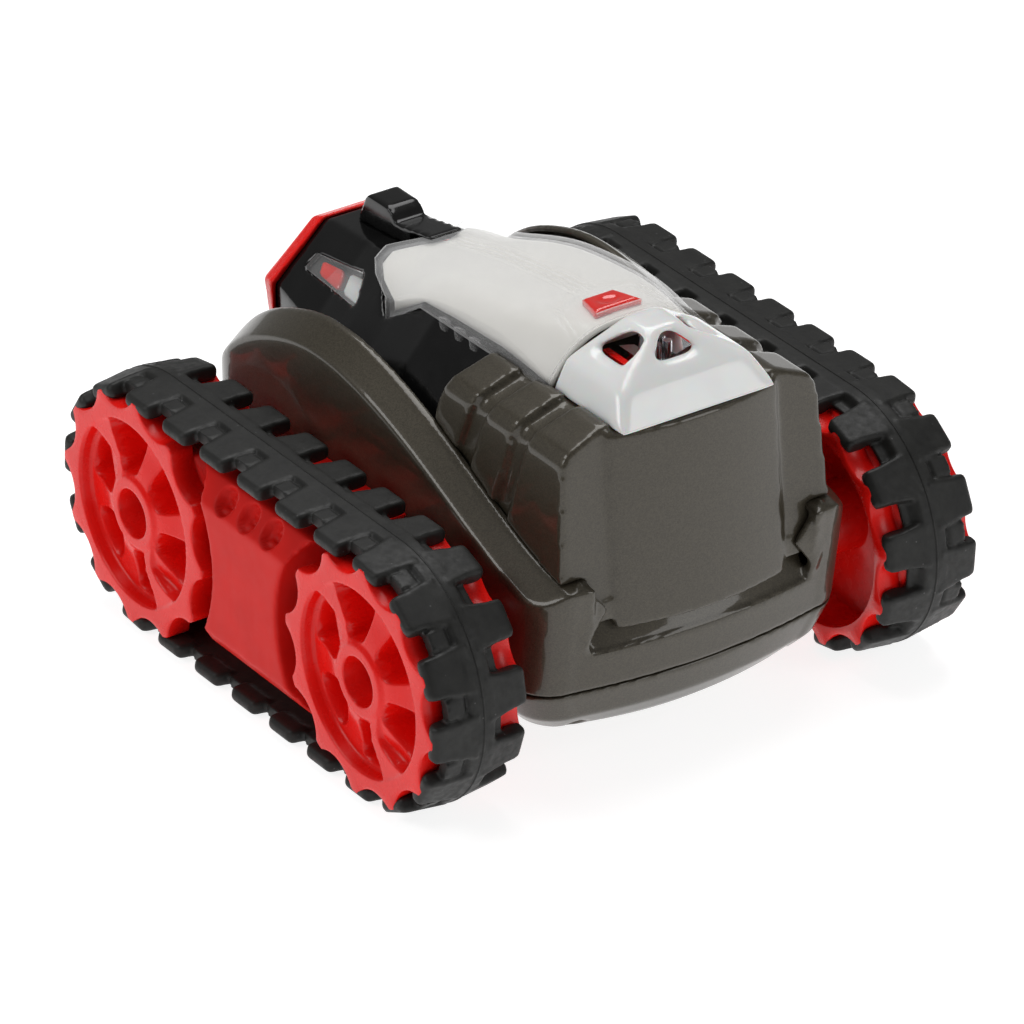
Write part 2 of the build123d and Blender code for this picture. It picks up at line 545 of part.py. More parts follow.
def upper_hull():
    shell = upper_volume(0) - upper_volume(WALL)
    shell -= box(-84, 90, -DECK_HALF_W, DECK_HALF_W, 55, 130)
    shell -= box(60, 130, -HORN_IN_Y, HORN_IN_Y, SILL_Z, 130)
    for x, y in HULL_SCREW_XY:
        wall_y = math.copysign(HULL_HALF_W, y)
        web = box(x - 1.2, x + 1.2, min(y, wall_y), max(y, wall_y), PARTING_Z, PARTING_Z + 11)
        boss = rod_z(x, y, 4.2, PARTING_Z, PARTING_Z + 11) + web
        shell += boss & upper_volume(0)
        shell -= rod_z(x, y, 1.5, PARTING_Z - 1, PARTING_Z + 10)
    foot, head = plan_outline(SILL_Z, inset=1.0, lean=2.0), plan_outline(SILL_Z + 9, inset=5.0, lean=2.0)
    shell += loft([foot, head], ruled=True) & box(88, 110, -HORN_IN_Y, HORN_IN_Y, SILL_Z - 1, SILL_Z + 9)
    for side in SIDES.values():
        shell -= rod_y(AXLE_X["front"], AXLE_Z, 4.0, side * 50, side * 60)
        for x in FRAME_SCREW_X:
            shell -= rod_y(x, AXLE_Z, 1.5, side * 50, side * 60)
        fin = [(side * 34, 62.5), (side * 43.6, 75), (side * 47, 71), (side * 42, 51)]
        shell += prism_x(fin, 97.2, 99.6)
    return shell


# ---- engine cowl with its ribs and nose panel ----
DECK_HALF_W = 46.0
PANEL_HALF_W = 30.5
PANEL_TOP_Z = 117.5
COWL_WALL = 4.6


def cowl_section(inset):
    """Half outline of the cowl across the vehicle, as (y, z) points from the middle outward."""
    return [(31 - inset * 0.3, 119.8 - inset), (43.5 - inset * 0.8, 114.6 - inset * 0.8),
            (46.2 - inset, 110.5 - inset * 0.5), (49 - inset, 74), (49 - inset, 48)]


def mirrored(half):
    """Closed outline from the right-hand half of it."""
    return half + [(-y, z) for y, z in reversed(half)]


def cowl_profile(inset):
    """Side outline of the cowl's ribbed block."""
    return [(24 + inset, 62.5), (22 + inset, 85), (27.5 + inset, 104), (35 + inset, 122),
            (92.5 - inset, 122), (97 - inset, 62.5)]


def nose_panel(inset):
    """Bowed panel in the middle of the nose, leaning back as it rises."""
    faces = []
    for z, front in ((54 - inset, 103.4), (PANEL_TOP_Z - inset, 98.6)):
        half, x = PANEL_HALF_W - inset, front - inset
        edges = [
            Line((60, -half, z), (x - 4.5, -half, z)),
            ThreePointArc((x - 4.5, -half, z), (x, 0, z), (x - 4.5, half, z)),
            Line((x - 4.5, half, z), (60, half, z)), Line((60, half, z), (60, -half, z)),
        ]
        faces.append(Face(Wire(edges)))
    return loft(faces, ruled=True)


def cowl_block(inset):
    block = prism_y(cowl_profile(inset), -60, 60)
    return block & prism_x(mirrored(cowl_section(inset)), 0, 120)


def rib_gaps():
    """Two leaning grooves that part each side of the cowl into three ribs."""
    skin = cowl_block(-3) - prism_x(mirrored(cowl_section(2.3)), 0, 120)
    gaps = [
        [(54.5, 68), (62.0, 68), (77.5, 123), (70.5, 123)],
        [(31.0, 72), (39.0, 72), (57.0, 123), (50.0, 123)],
    ]
    return [skin & prism_y(gap, -60, 60) for gap in gaps]


def engine_cowl(hull_solid, hull_shell, roof_solid):
    cowl = cowl_block(0) + nose_panel(0)
    cowl += box(80, 97.6, -HORN_IN_Y + 0.3, HORN_IN_Y - 0.3, SILL_Z + 9, 64)
    for gap in rib_gaps():
        cowl -= gap
    cowl -= cowl_block(COWL_WALL)
    cowl -= nose_panel(COWL_WALL - 1.6)
    cowl -= box(20, 94, -HORN_IN_Y + 4, HORN_IN_Y - 4, 40, 64)
    trim = hull_solid - box(-100, 120, -DECK_HALF_W + 0.1, DECK_HALF_W - 0.1, 30, 130)
    cowl -= trim
    cowl -= hull_shell
    cowl -= roof_solid
    return largest(cowl)


def largest(shape):
    return max(shape.solids(), key=lambda solid: solid.volume)


# ---- cab, tail frame and scoop ----
# x, then half width and height of the foot, the shoulder and the roof edge
CAB_STATIONS = [
    (-91, 29, 78, 29.5, 90.5, 12, 106), (-84, 31, 74, 31, 92, 12, 109.5),
    (-60, 38, 80, 34.5, 90, 13, 111.5), (-40, 43, 82, 39, 92, 16, 114),
    (-24, 45.6, 84, 41, 93, 20, 115.5), (0, 45.6, 86, 45, 96, 27, 116.5),
    (40, 45.6, 80, 45.5, 90, 27.5, 116.5),
]


def cab_volume(stations, inset):
    faces = []
    for x, foot_y, foot_z, side_y, side_z, top_y, top_z in stations:
        half = [(top_y - inset * 0.4, top_z - inset), (side_y - inset, side_z - inset * 0.4),
                (foot_y - inset, foot_z - (3 if inset > 0 else 0))]
        faces.append(Face(Wire.make_polygon([Vector(x, y, z) for y, z in mirrored(half)])))
    return loft(faces, ruled=True)


def shifted(stations, first_x, last_x):
    """The same stations with the first and last moved along X."""
    moved = [list(station) for station in stations]
    moved[0][0], moved[-1][0] = first_x, last_x
    return moved


TAIL_STATIONS = [
    (-93.5, 27.5, 84, 30, 91, 12.5, 105), (-91.5, 30, 79, 31.4, 91.2, 13, 107.6),
    (-85.5, 32, 77, 32.8, 92.7, 13, 110),
]

SCOOP_PROFILE = [
    (-80, 104), (-73.5, 118.5), (-71.5, 121), (-60.5, 121.5), (-57.5, 119.5), (-56, 117.5),
    (-36, 121.2), (-36, 112),
]
SCOOP_HALF_W = 5.6

# ---- roof: clear canopy over a white liner, and the bonnet ----
# x, half width, height of the lower edge, height of the shoulder, height on the centre line
CANOPY_STATIONS = [
    (-48, 15, 109, 112, 117.5), (-27, 29.5, 104, 113, 122), (-7, 29.0, 116.5, 120, 127),
    (35, 29.0, 117, 120.5, 132.8), (61, 29.0, 117.3, 121.5, 135.5),
]
CANOPY_WALL, LINER_WALL = 1.4, 1.6
LENS_OUTLINE = [(45, 5.4), (45, -5.4), (56, -8.4), (56, 8.4)]


def dome(inset, floor=0.0):
    """Arched roof volume between its lower edges."""
    faces = []
    for x, half, foot, shoulder, top in CANOPY_STATIONS:
        w, base = half - inset, foot - floor
        arch = ThreePointArc((x, w, shoulder), (x, 0, top - inset), (x, -w, shoulder))
        walls = [Line((x, -w, shoulder), (x, -w, base)), Line((x, -w, base), (x, w, base)),
                 Line((x, w, base), (x, w, shoulder))]
        faces.append(Face(Wire([arch] + walls)))
    return loft(faces, ruled=True)


def bonnet_volume(inset, floor=0.0):
    """Four-sided cap that steps up to a peak behind the intakes."""
    levels = [  # height, rear x, front x, half width
        (PANEL_TOP_Z, 61.2, 98.6, 28.8), (127.2, 61.2, 91.5, 23.8), (138.6, 67, 79.5, 5.6),
    ]
    faces = []
    for level, (z, rear, front, half) in enumerate(levels):
        height = z - (inset if level else floor)
        corners = [(rear, -half + inset), (front - inset, -half + inset),
                   (front - inset, half - inset), (rear, half - inset)]
        faces.append(Face(Wire.make_polygon([Vector(x, y, height) for x, y in corners])))
    return loft(faces, ruled=True)


def bonnet():
    shell = bonnet_volume(0) - bonnet_volume(2.2, floor=1)
    front_intake = [(-8.4, 130.6), (8.4, 130.6), (1.2, 136.6), (-1.2, 136.6)]
    shell -= prism_x(front_intake, 74, 100)
    side_intake = [(66.5, 130.2), (82, 130.2), (80.5, 136.2), (74, 136.2)]
    shell -= prism_y(side_intake, -30, -4)
    shell -= prism_y(side_intake, 4, 30)
    return shell


def lens_prism(z0, z1, grow=0.0):
    wire = Wire.make_polygon([Vector(x, y + math.copysign(grow, y), z0) for x, y in LENS_OUTLINE])
    return extrude(Face(wire), amount=z1 - z0, dir=(0, 0, 1))


LENS_CENTRE = (-63.0, 23.5, 100.8)
LENS_TILT = 45.0
LENS_CORNERS = [(-14.8, -3.6), (10.8, -6.5), (18.4, 3.9), (-15.9, 2.4)]  # along X and down the flank


def lens_cutter(side):
    """Prism through the sloped flank of the cab where a lamp lens sits."""
    x, y, z = LENS_CENTRE
    flat = Face(Wire.make_polygon([Vector(a, side * b, 0) for a, b in LENS_CORNERS]))
    prism = extrude(flat, amount=12, dir=(0, 0, 1))
    return Pos(x, side * y, z) * Rot(-side * LENS_TILT, 0, 0) * Pos(0, 0, -6) * prism


def cab_lens(side):
    skin = cab_volume(CAB_STATIONS, 0) - cab_volume(shifted(CAB_STATIONS, -89, 41), 2.2)
    return largest(skin & lens_cutter(side))


lower = lower_hull()
upper = upper_hull()
canopy_solid = dome(0)
bonnet_solid = bonnet_volume(0)
roof_solid = canopy_solid + bonnet_solid
cowl = engine_cowl(upper_volume(0), upper, roof_solid)
cab_solid = cab_volume(CAB_STATIONS, 0)
tail = cab_volume(TAIL_STATIONS, 0) - cab_volume(shifted(CAB_STATIONS, -91.6, 40), 0)
scoop = prism_y(SCOOP_PROFILE, -SCOOP_HALF_W, SCOOP_HALF_W) - canopy_solid
cab = cab_solid - cab_volume(shifted(CAB_STATIONS, -89, 41), 2.2)
cab -= upper
cab -= cowl
cab -= roof_solid
cab = largest(cab)
scoop = largest(scoop - cab_solid)
lenses = [cab_lens(side) for side in (1, -1)]
for side in (1, -1):
    cab -= lens_cutter(side)
lens_cut = lens_prism(110, 140, 0.0)
canopy_shell = largest(dome(0) - dome(CANOPY_WALL, floor=1) - lens_cut)
liner_shell = largest(dome(CANOPY_WALL) - dome(CANOPY_WALL + LINER_WALL, floor=1) - lens_cut)
roof_lens = largest(lens_prism(120, 140) & dome(0) - dome(CANOPY_WALL + LINER_WALL, floor=1))

save("lower_hull", lower)
save("upper_hull", upper)
save("engine_cowl", cowl)
save("cab_shell", cab)
save("tail_frame", largest(tail))
save("top_scoop", scoop)
save("clear_canopy", canopy_shell)
save("roof_liner", liner_shell)
save("roof_lamp_lens", roof_lens)
save("bonnet", bonnet())
save("side_lens_left", lenses[0])
save("side_lens_right", lenses[1])


# ---- engine under the bonnet ----
ENGINE_BASE_Z = PANEL_TOP_Z
ENGINE_X0, ENGINE_X1 = 68.0, 82.0


def engine_carrier():
    """Tray that stands on the cowl and holds the dummy engine."""
    tray = box(ENGINE_X0 - 4, ENGINE_X1 + 4, -13, 13, ENGINE_BASE_Z, ENGINE_BASE_Z + 2)
    for y in (-11.8, 11.8):
        tray += box(ENGINE_X0 - 2, ENGINE_X1 + 2, y - 1.2, y + 1.2, ENGINE_BASE_Z + 1, ENGINE_BASE_Z + 11)
    return tray


def engine_block():
    """Vee engine: crankcase, two leaning heads and a row of intake trumpets."""
    z0 = ENGINE_BASE_Z + 2
    block = box(ENGINE_X0, ENGINE_X1, -5, 5, z0, z0 + 6)
    for side in SIDES.values():
        head = [(side * 1.5, z0 + 3), (side * 7.5, z0 + 5.5), (side * 9.0, z0 + 10.5), (side * 3.2, z0 + 9)]
        block += prism_x(head, ENGINE_X0 + 1, ENGINE_X1 - 1)
    for x in (ENGINE_X0 + 3.5, ENGINE_X0 + 7, ENGINE_X0 + 10.5):
        for side in SIDES.values():
            block += rod_z(x, side * 2.0, 1.3, z0 + 5, z0 + 13)
    return block


# ---- power, control and lamps ----
CELL_R, CELL_LENGTH = 7.1, 50.0
CELL_Z = HULL_BOTTOM + DOOR_THICK + CELL_R + 1.0
CELL_X0 = BAY_X0 + 1.6
CELL_Y = [(row - 1) * (2 * CELL_R + 0.8) for row in range(3)]


def cell(y):
    from_end = (Align.CENTER, Align.CENTER, Align.MIN)
    can = Pos(CELL_X0, y, CELL_Z) * Rot(0, 90, 0) * Cylinder(CELL_R, CELL_LENGTH, align=from_end)
    cap = Pos(CELL_X0 + CELL_LENGTH, y, CELL_Z) * Rot(0, 90, 0) * Cylinder(2.7, 1.0, align=from_end)
    return can + cap


def contacts():
    """Spring plates behind the cells and one bus strip at their caps."""
    rear_plates = [box(BAY_X0, BAY_X0 + 1.4, y - 5, y + 5, CELL_Z - 5, CELL_Z + 5) for y in CELL_Y]
    cap_x = CELL_X0 + CELL_LENGTH + 1.1
    strip = box(cap_x, cap_x + 0.8, CELL_Y[0] - 5, CELL_Y[-1] + 5, CELL_Z - 3, BAY_TOP)
    return rear_plates + [strip]


def battery_door():
    gap, z1 = 0.25, HULL_BOTTOM + DOOR_THICK - 0.1
    x0, x1, half = BAY_X0 - BAY_LEDGE + gap, BAY_X1 + BAY_LEDGE - gap, BAY_HALF_W + BAY_LEDGE - gap
    door = box(x0, x1, -half, half, HULL_BOTTOM, z1)
    door -= rod_z(DOOR_SCREW_X, 0, 1.7, HULL_BOTTOM - 1, z1 + 1)
    door -= rod_z(DOOR_SCREW_X, 0, 3.2, HULL_BOTTOM - 1, HULL_BOTTOM + 1.4)
    for rib in range(5):
        x = BAY_X0 + 4 + rib * 2.4
        door -= box(x, x + 1.2, -9, 9, HULL_BOTTOM - 1, HULL_BOTTOM + 0.6)
    return door


def upward_screw(x, y, head_z, head_r, shank_r, length):
    """Screw driven up from below; its head sits above head_z."""
    return Pos(x, y, head_z) * Rot(180, 0, 0) * screw(head_r, shank_r, length, 1.2)


def circuit_board():
    board = box(-37, 19, -23, 23, BOARD_Z, BOARD_Z + 1.6)
    for x, y in BOARD_POST_XY:
        board -= rod_z(x, y, 1.1, BOARD_Z - 1, BOARD_Z + 3)
    return board


def board_components():
    """Controller, motor drivers, capacitors and plug sockets that stand on the board."""
    top = BOARD_Z + 1.6
    chips = [box(-22, -10, -6, 6, top, top + 1.4), box(0, 5, -14, -8, top, top + 1.4),
             box(0, 5, 8, 14, top, top + 1.4), box(10, 15, -5, 5, top, top + 6)]
    cans = [rod_z(x, y, 2.5, top, top + 9) for x, y in ((-28, 10), (-28, -10), (-4, 0))]
    return chips + cans


SWITCH_Z = HULL_BOTTOM + WALL
KNOB_REST_X = SWITCH_X - SWITCH_TRAVEL / 2


def switch_body():
    body = box(SWITCH_X - 9, SWITCH_X + 9, -6, 6, SWITCH_Z, SWITCH_Z + 7)
    return body - box(SWITCH_X - 6.3, SWITCH_X + 6.3, -4.3, 4.3, SWITCH_Z - 1, SWITCH_Z + 4)


def switch_slider():
    base = box(KNOB_REST_X - 4, KNOB_REST_X + 4, -4, 4, SWITCH_Z + 0.2, SWITCH_Z + 3.6)
    knob = box(KNOB_REST_X - 2, KNOB_REST_X + 2, -2.6, 2.6, HULL_BOTTOM - 0.8, SWITCH_Z + 1)
    for step in range(3):
        x = KNOB_REST_X - 1.2 + step * 1.0
        knob -= box(x, x + 0.4, -3, 3, HULL_BOTTOM - 1, HULL_BOTTOM - 0.3)
    return base + knob


LAMP_BAR_Z = 91.0


def lamp_bar():
    """Strip across the cab, below the two side lenses."""
    inside = cab_volume(shifted(CAB_STATIONS, -89, 41), 2.2)
    return box(-71, -61, -60, 60, LAMP_BAR_Z - 2, LAMP_BAR_Z) & inside


def lamp(side):
    """Domed diode on a short square base, standing on the lamp bar."""
    up = (Align.CENTER, Align.CENTER, Align.MIN)
    dome = Cylinder(1.5, 5.0, align=up)
    body = Box(4, 4, 1, align=up) + fillet(dome.edges().sort_by(Axis.Z)[-1], 1.3)
    return Pos(-66, side * 22, LAMP_BAR_Z) * body


board_screw = screw(1.9, 0.8, 5.0, 1.2)
board_screws = [Pos(x, y, BOARD_Z + 1.6) * board_screw for x, y in BOARD_POST_XY]
hull_screws = [upward_screw(x, y, SCREW_SEAT_Z, 3.0, 1.4, SCREW_LENGTH) for x, y in HULL_SCREW_XY]

save("lamp_bar", lamp_bar())
save("lamp_diodes", *[lamp(side) for side in SIDES.values()])
save("engine_carrier", engine_carrier())
save("engine_block", engine_block())
save("battery_cells", *[cell(y) for y in CELL_Y])
save("battery_contacts", *contacts())
save("battery_door", battery_door())
save("battery_door_screw", upward_screw(DOOR_SCREW_X, 0, HULL_BOTTOM + 1.4, 2.8, 1.15, 10.0))
save("circuit_board", circuit_board())
save("board_components", *board_components())
save("board_screws", *board_screws)
save("hull_screws", *hull_screws)
save("switch_body", switch_body())
save("switch_slider", switch_slider())
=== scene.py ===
"""Looks of the two-track toy vehicle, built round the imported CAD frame.

Metres: X to the front, Y to the left, Z up from the ground. A length read off in millimetres is
written as a number times MM. The roof's tables and the wheel's web are in plain millimetres.
"""
import json
import math

import bmesh
import bpy
from mathutils import Matrix, Vector

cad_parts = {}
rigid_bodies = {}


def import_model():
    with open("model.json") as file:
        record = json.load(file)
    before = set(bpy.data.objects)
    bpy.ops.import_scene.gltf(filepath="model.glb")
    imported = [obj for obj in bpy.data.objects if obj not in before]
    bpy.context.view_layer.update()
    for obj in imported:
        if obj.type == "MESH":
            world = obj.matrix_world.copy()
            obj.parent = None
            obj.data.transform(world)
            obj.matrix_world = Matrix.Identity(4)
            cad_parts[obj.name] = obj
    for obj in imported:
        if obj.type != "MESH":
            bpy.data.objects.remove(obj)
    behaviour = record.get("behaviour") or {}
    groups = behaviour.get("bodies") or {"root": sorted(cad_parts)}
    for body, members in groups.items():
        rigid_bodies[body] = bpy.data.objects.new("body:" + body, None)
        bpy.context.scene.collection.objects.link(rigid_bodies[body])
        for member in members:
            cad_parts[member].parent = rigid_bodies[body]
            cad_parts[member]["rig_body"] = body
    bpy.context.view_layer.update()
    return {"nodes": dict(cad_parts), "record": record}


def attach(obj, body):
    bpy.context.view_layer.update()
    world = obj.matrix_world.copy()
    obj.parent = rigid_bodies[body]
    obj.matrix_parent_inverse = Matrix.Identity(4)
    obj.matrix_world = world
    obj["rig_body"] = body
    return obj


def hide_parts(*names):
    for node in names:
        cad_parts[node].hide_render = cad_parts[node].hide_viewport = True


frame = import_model()
MM = 0.001
SIDES = {"left": 1, "right": -1}


# ---- camera, light and floor ----
AXLE_Z = 42.5 * MM
CAMERA_AZIMUTH, CAMERA_ELEVATION = math.radians(56.14), math.radians(28.96)
CAMERA_ROLL = math.radians(-0.75)
CAMERA_DISTANCE = 2.556
CAMERA_OFFSET = (-1.10 * MM, -2.47 * MM)  # right and up, in the picture's plane
CAMERA_LENS, CAMERA_SENSOR = 292.8, 36
WORLD_STRENGTH = 0.19
LIGHT_TARGET = Vector((0, 0, 0.05))
SOFT_BOXES = {  # place, size and watts
    "left_box": ((-0.25, -0.95, 0.75), (0.7, 0.35), 3.6),
    "right_box": ((1.0, 0.55, 0.55), (0.35, 0.7), 2.4),
    "top_box": ((-0.3, 0.25, 1.2), (0.9, 0.9), 10),
}
FLOOR_HALF, FLOOR_GREY, FLOOR_GLOW = 6.0, 0.5, 0.84


def camera_axes():
    """Right, up and back of the camera, as unit vectors."""
    az, el = CAMERA_AZIMUTH, CAMERA_ELEVATION
    back = Vector((math.sin(az) * math.cos(el), -math.cos(az) * math.cos(el), math.sin(el)))
    right = Vector((math.cos(az), math.sin(az), 0))
    up = back.cross(right)
    c, s = math.cos(CAMERA_ROLL), math.sin(CAMERA_ROLL)
    return right * c + up * s, up * c - right * s, back


def add_camera():
    right, up, back = camera_axes()
    data = bpy.data.cameras.new("camera")
    data.lens, data.sensor_width = CAMERA_LENS, CAMERA_SENSOR
    data.clip_start, data.clip_end = 0.1, 20
    camera = bpy.data.objects.new("camera", data)
    bpy.context.scene.collection.objects.link(camera)
    place = back * CAMERA_DISTANCE + right * CAMERA_OFFSET[0] + up * CAMERA_OFFSET[1]
    turn = Matrix((right, up, back)).transposed().to_4x4()
    camera.matrix_world = Matrix.Translation(place + Vector((0, 0, AXLE_Z))) @ turn
    bpy.context.scene.camera = camera


def add_soft_box(name, place, size, watts):
    data = bpy.data.lights.new(name, "AREA")
    data.shape, data.size, data.size_y = "RECTANGLE", size[0], size[1]
    data.energy = watts
    light = bpy.data.objects.new(name, data)
    bpy.context.scene.collection.objects.link(light)
    light.location = place
    light.rotation_euler = (LIGHT_TARGET - Vector(place)).to_track_quat("-Z", "Y").to_euler()


def add_studio():
    world = bpy.data.worlds.new("studio")
    bpy.context.scene.world = world
    world.use_nodes = True
    background = world.node_tree.nodes["Background"]
    background.inputs["Color"].default_value = (1.0, 1.0, 1.0, 1)
    background.inputs["Strength"].default_value = WORLD_STRENGTH
    for name, (place, size, watts) in SOFT_BOXES.items():
        add_soft_box(name, place, size, watts)
    view = bpy.context.scene.view_settings
    view.view_transform, view.look = "Standard", "None"


def add_floor():
    material = bpy.data.materials.new("floor_paint")
    material.use_nodes = True
    shader = material.node_tree.nodes["Principled BSDF"]
    shader.inputs["Base Color"].default_value = (FLOOR_GREY, FLOOR_GREY, FLOOR_GREY, 1)
    shader.inputs["Roughness"].default_value = 0.9
    shader.inputs["Specular IOR Level"].default_value = 0.1
    shader.inputs["Emission Color"].default_value = (1, 1, 1, 1)
    shader.inputs["Emission Strength"].default_value = FLOOR_GLOW
    mesh = bpy.data.meshes.new("floor")
    half = FLOOR_HALF
    corners = [(-half, -half, 0), (half, -half, 0), (half, half, 0), (-half, half, 0)]
    mesh.from_pydata(corners, [], [(0, 1, 2, 3)])
    mesh.materials.append(material)
    floor = bpy.data.objects.new("floor", mesh)
    bpy.context.scene.collection.objects.link(floor)


# ---- materials ----
MIX_A, MIX_B, MIX_RESULT = 6, 7, 2  # the colour sockets of a Mix node


class Shade:
    """A principled material whose patterns are measured in the piece's own metres."""

    def __init__(self, name, **sockets):
        self.material = bpy.data.materials.new(name)
        self.material.use_nodes = True
        self.tree = self.material.node_tree
        self.shader = self.tree.nodes["Principled BSDF"]
        self.place = self.node("ShaderNodeTexCoord").outputs["Object"]
        for socket, value in sockets.items():
            self.shader.inputs[socket.replace("_", " ")].default_value = value

    def node(self, kind, **settings):
        made = self.tree.nodes.new(kind)
        for setting, value in settings.items():
            setattr(made, setting, value)
        return made

    def link(self, source, target):
        self.tree.links.new(source, target)

    def noise(self, size, detail=3.0, roughness=0.5):
        """Noise whose features are about `size` metres across, from 0 to 1."""
        made = self.node("ShaderNodeTexNoise")
        made.inputs["Scale"].default_value = 1 / size
        made.inputs["Detail"].default_value = detail
        made.inputs["Roughness"].default_value = roughness
        self.link(self.place, made.inputs["Vector"])
        return made.outputs["Fac"]

    def cells(self, size, output="Color"):
        """Random value for each cell about `size` metres across."""
        made = self.node("ShaderNodeTexVoronoi")
        made.inputs["Scale"].default_value = 1 / size
        self.link(self.place, made.inputs["Vector"])
        return made.outputs[output]

    def ramp(self, source, low, high, start=0.0, end=1.0):
        """Maps a pattern from low to high, numbers or colours."""
        if isinstance(low, tuple):
            made = self.node("ShaderNodeValToRGB")
            made.color_ramp.elements[0].position = start
            made.color_ramp.elements[1].position = end
            made.color_ramp.elements[0].color = (*low, 1)
            made.color_ramp.elements[1].color = (*high, 1)
            self.link(source, made.inputs["Fac"])
            return made.outputs["Color"]
        made = self.node("ShaderNodeMapRange")
        made.inputs["From Min"].default_value = start
        made.inputs["From Max"].default_value = end
        made.inputs["To Min"].default_value = low
        made.inputs["To Max"].default_value = high
        self.link(source, made.inputs["Value"])
        return made.outputs["Result"]

    def bump(self, source, height, strength=1.0):
        """Gives the surface relief `height` metres deep."""
        made = self.node("ShaderNodeBump")
        made.inputs["Distance"].default_value = height
        made.inputs["Strength"].default_value = strength
        self.link(source, made.inputs["Height"])
        self.link(made.outputs["Normal"], self.shader.inputs["Normal"])

    def colour(self, source):
        self.link(source, self.shader.inputs["Base Color"])

    def roughness(self, source):
        self.link(source, self.shader.inputs["Roughness"])


def flake_plastic():
    """Warm grey plastic with fine metallic flakes under a gloss skin."""
    s = Shade("flake_plastic", Metallic=0.3, Specular_IOR_Level=0.3, Coat_Weight=0.6,
              Coat_Roughness=0.05)
    s.colour(s.ramp(s.cells(0.35 * MM), (0.033, 0.0275, 0.0180), (0.066, 0.056, 0.038)))
    s.roughness(s.ramp(s.noise(0.5 * MM), 0.34, 0.46))
    s.bump(s.noise(9 * MM, 1.0), 0.05 * MM, 0.5)
    return s.material


def gloss_plastic(name, dark, light, rough=(0.18, 0.3), **sockets):
    """Coloured injection moulding: slight flow marks and a faint ripple in the gloss."""
    s = Shade(name, **sockets)
    s.colour(s.ramp(s.noise(14 * MM, 2.0), dark, light, 0.3, 0.7))
    s.roughness(s.ramp(s.noise(4 * MM), rough[0], rough[1], 0.3, 0.7))
    s.bump(s.noise(7 * MM, 1.0), 0.04 * MM, 0.5)
    return s.material


def track_rubber():
    """Moulded rubber: fine grain, cloudy wear and a few specks of dust."""
    s = Shade("track_rubber", Specular_IOR_Level=0.3)
    clean = s.ramp(s.noise(6 * MM, 4.0), (0.0085, 0.0085, 0.0078), (0.0170, 0.0170, 0.0155),
                   0.3, 0.75)
    dust = s.node("ShaderNodeMix", data_type="RGBA")
    s.link(s.ramp(s.cells(5 * MM, "Distance"), 0.5, 0.0, 0.03, 0.07), dust.inputs["Factor"])
    s.link(clean, dust.inputs[MIX_A])
    dust.inputs[MIX_B].default_value = (0.12, 0.12, 0.12, 1)
    s.colour(dust.outputs[MIX_RESULT])
    s.roughness(s.ramp(s.noise(2 * MM, 3.0), 0.42, 0.60, 0.3, 0.7))
    s.bump(s.noise(0.35 * MM, 2.0), 0.02 * MM, 0.5)
    return s.material


def clear_plastic(name, tint, low, high, **sockets):
    """Thin clear moulding: see-through, with a gloss skin that has a faint ripple."""
    s = Shade(name, **sockets)
    s.shader.inputs["Base Color"].default_value = (*tint, 1)
    s.roughness(s.ramp(s.noise(5 * MM), 0.04, 0.09))
    clear = s.node("ShaderNodeBsdfTransparent")
    clear.inputs["Color"].default_value = (*tint, 1)
    weight = s.node("ShaderNodeLayerWeight")
    weight.inputs["Blend"].default_value = 0.35
    mix = s.node("ShaderNodeMixShader")
    s.link(s.ramp(weight.outputs["Facing"], low, high, 0.25, 1.0), mix.inputs["Fac"])
    s.link(clear.outputs["BSDF"], mix.inputs[1])
    s.link(s.shader.outputs["BSDF"], mix.inputs[2])
    s.link(mix.outputs["Shader"], s.tree.nodes["Material Output"].inputs["Surface"])
    return s.material


def metal(name, colour, rough, grain=0.5 * MM):
    """Bare or plated metal with fine tool marks."""
    s = Shade(name, Metallic=1.0)
    low = tuple(c * 0.85 for c in colour)
    s.colour(s.ramp(s.noise(grain * 4), low, colour, 0.3, 0.7))
    s.roughness(s.ramp(s.noise(grain), rough * 0.7, rough * 1.3))
    s.bump(s.noise(grain, 2.0), 0.01 * MM, 0.5)
    return s.material


def matt_plastic(name, dark, light):
    s = Shade(name)
    s.colour(s.ramp(s.noise(2 * MM, 3.0), dark, light, 0.3, 0.7))
    s.roughness(s.ramp(s.noise(1 * MM), 0.45, 0.6))
    s.bump(s.noise(0.4 * MM), 0.02 * MM, 0.5)
    return s.material


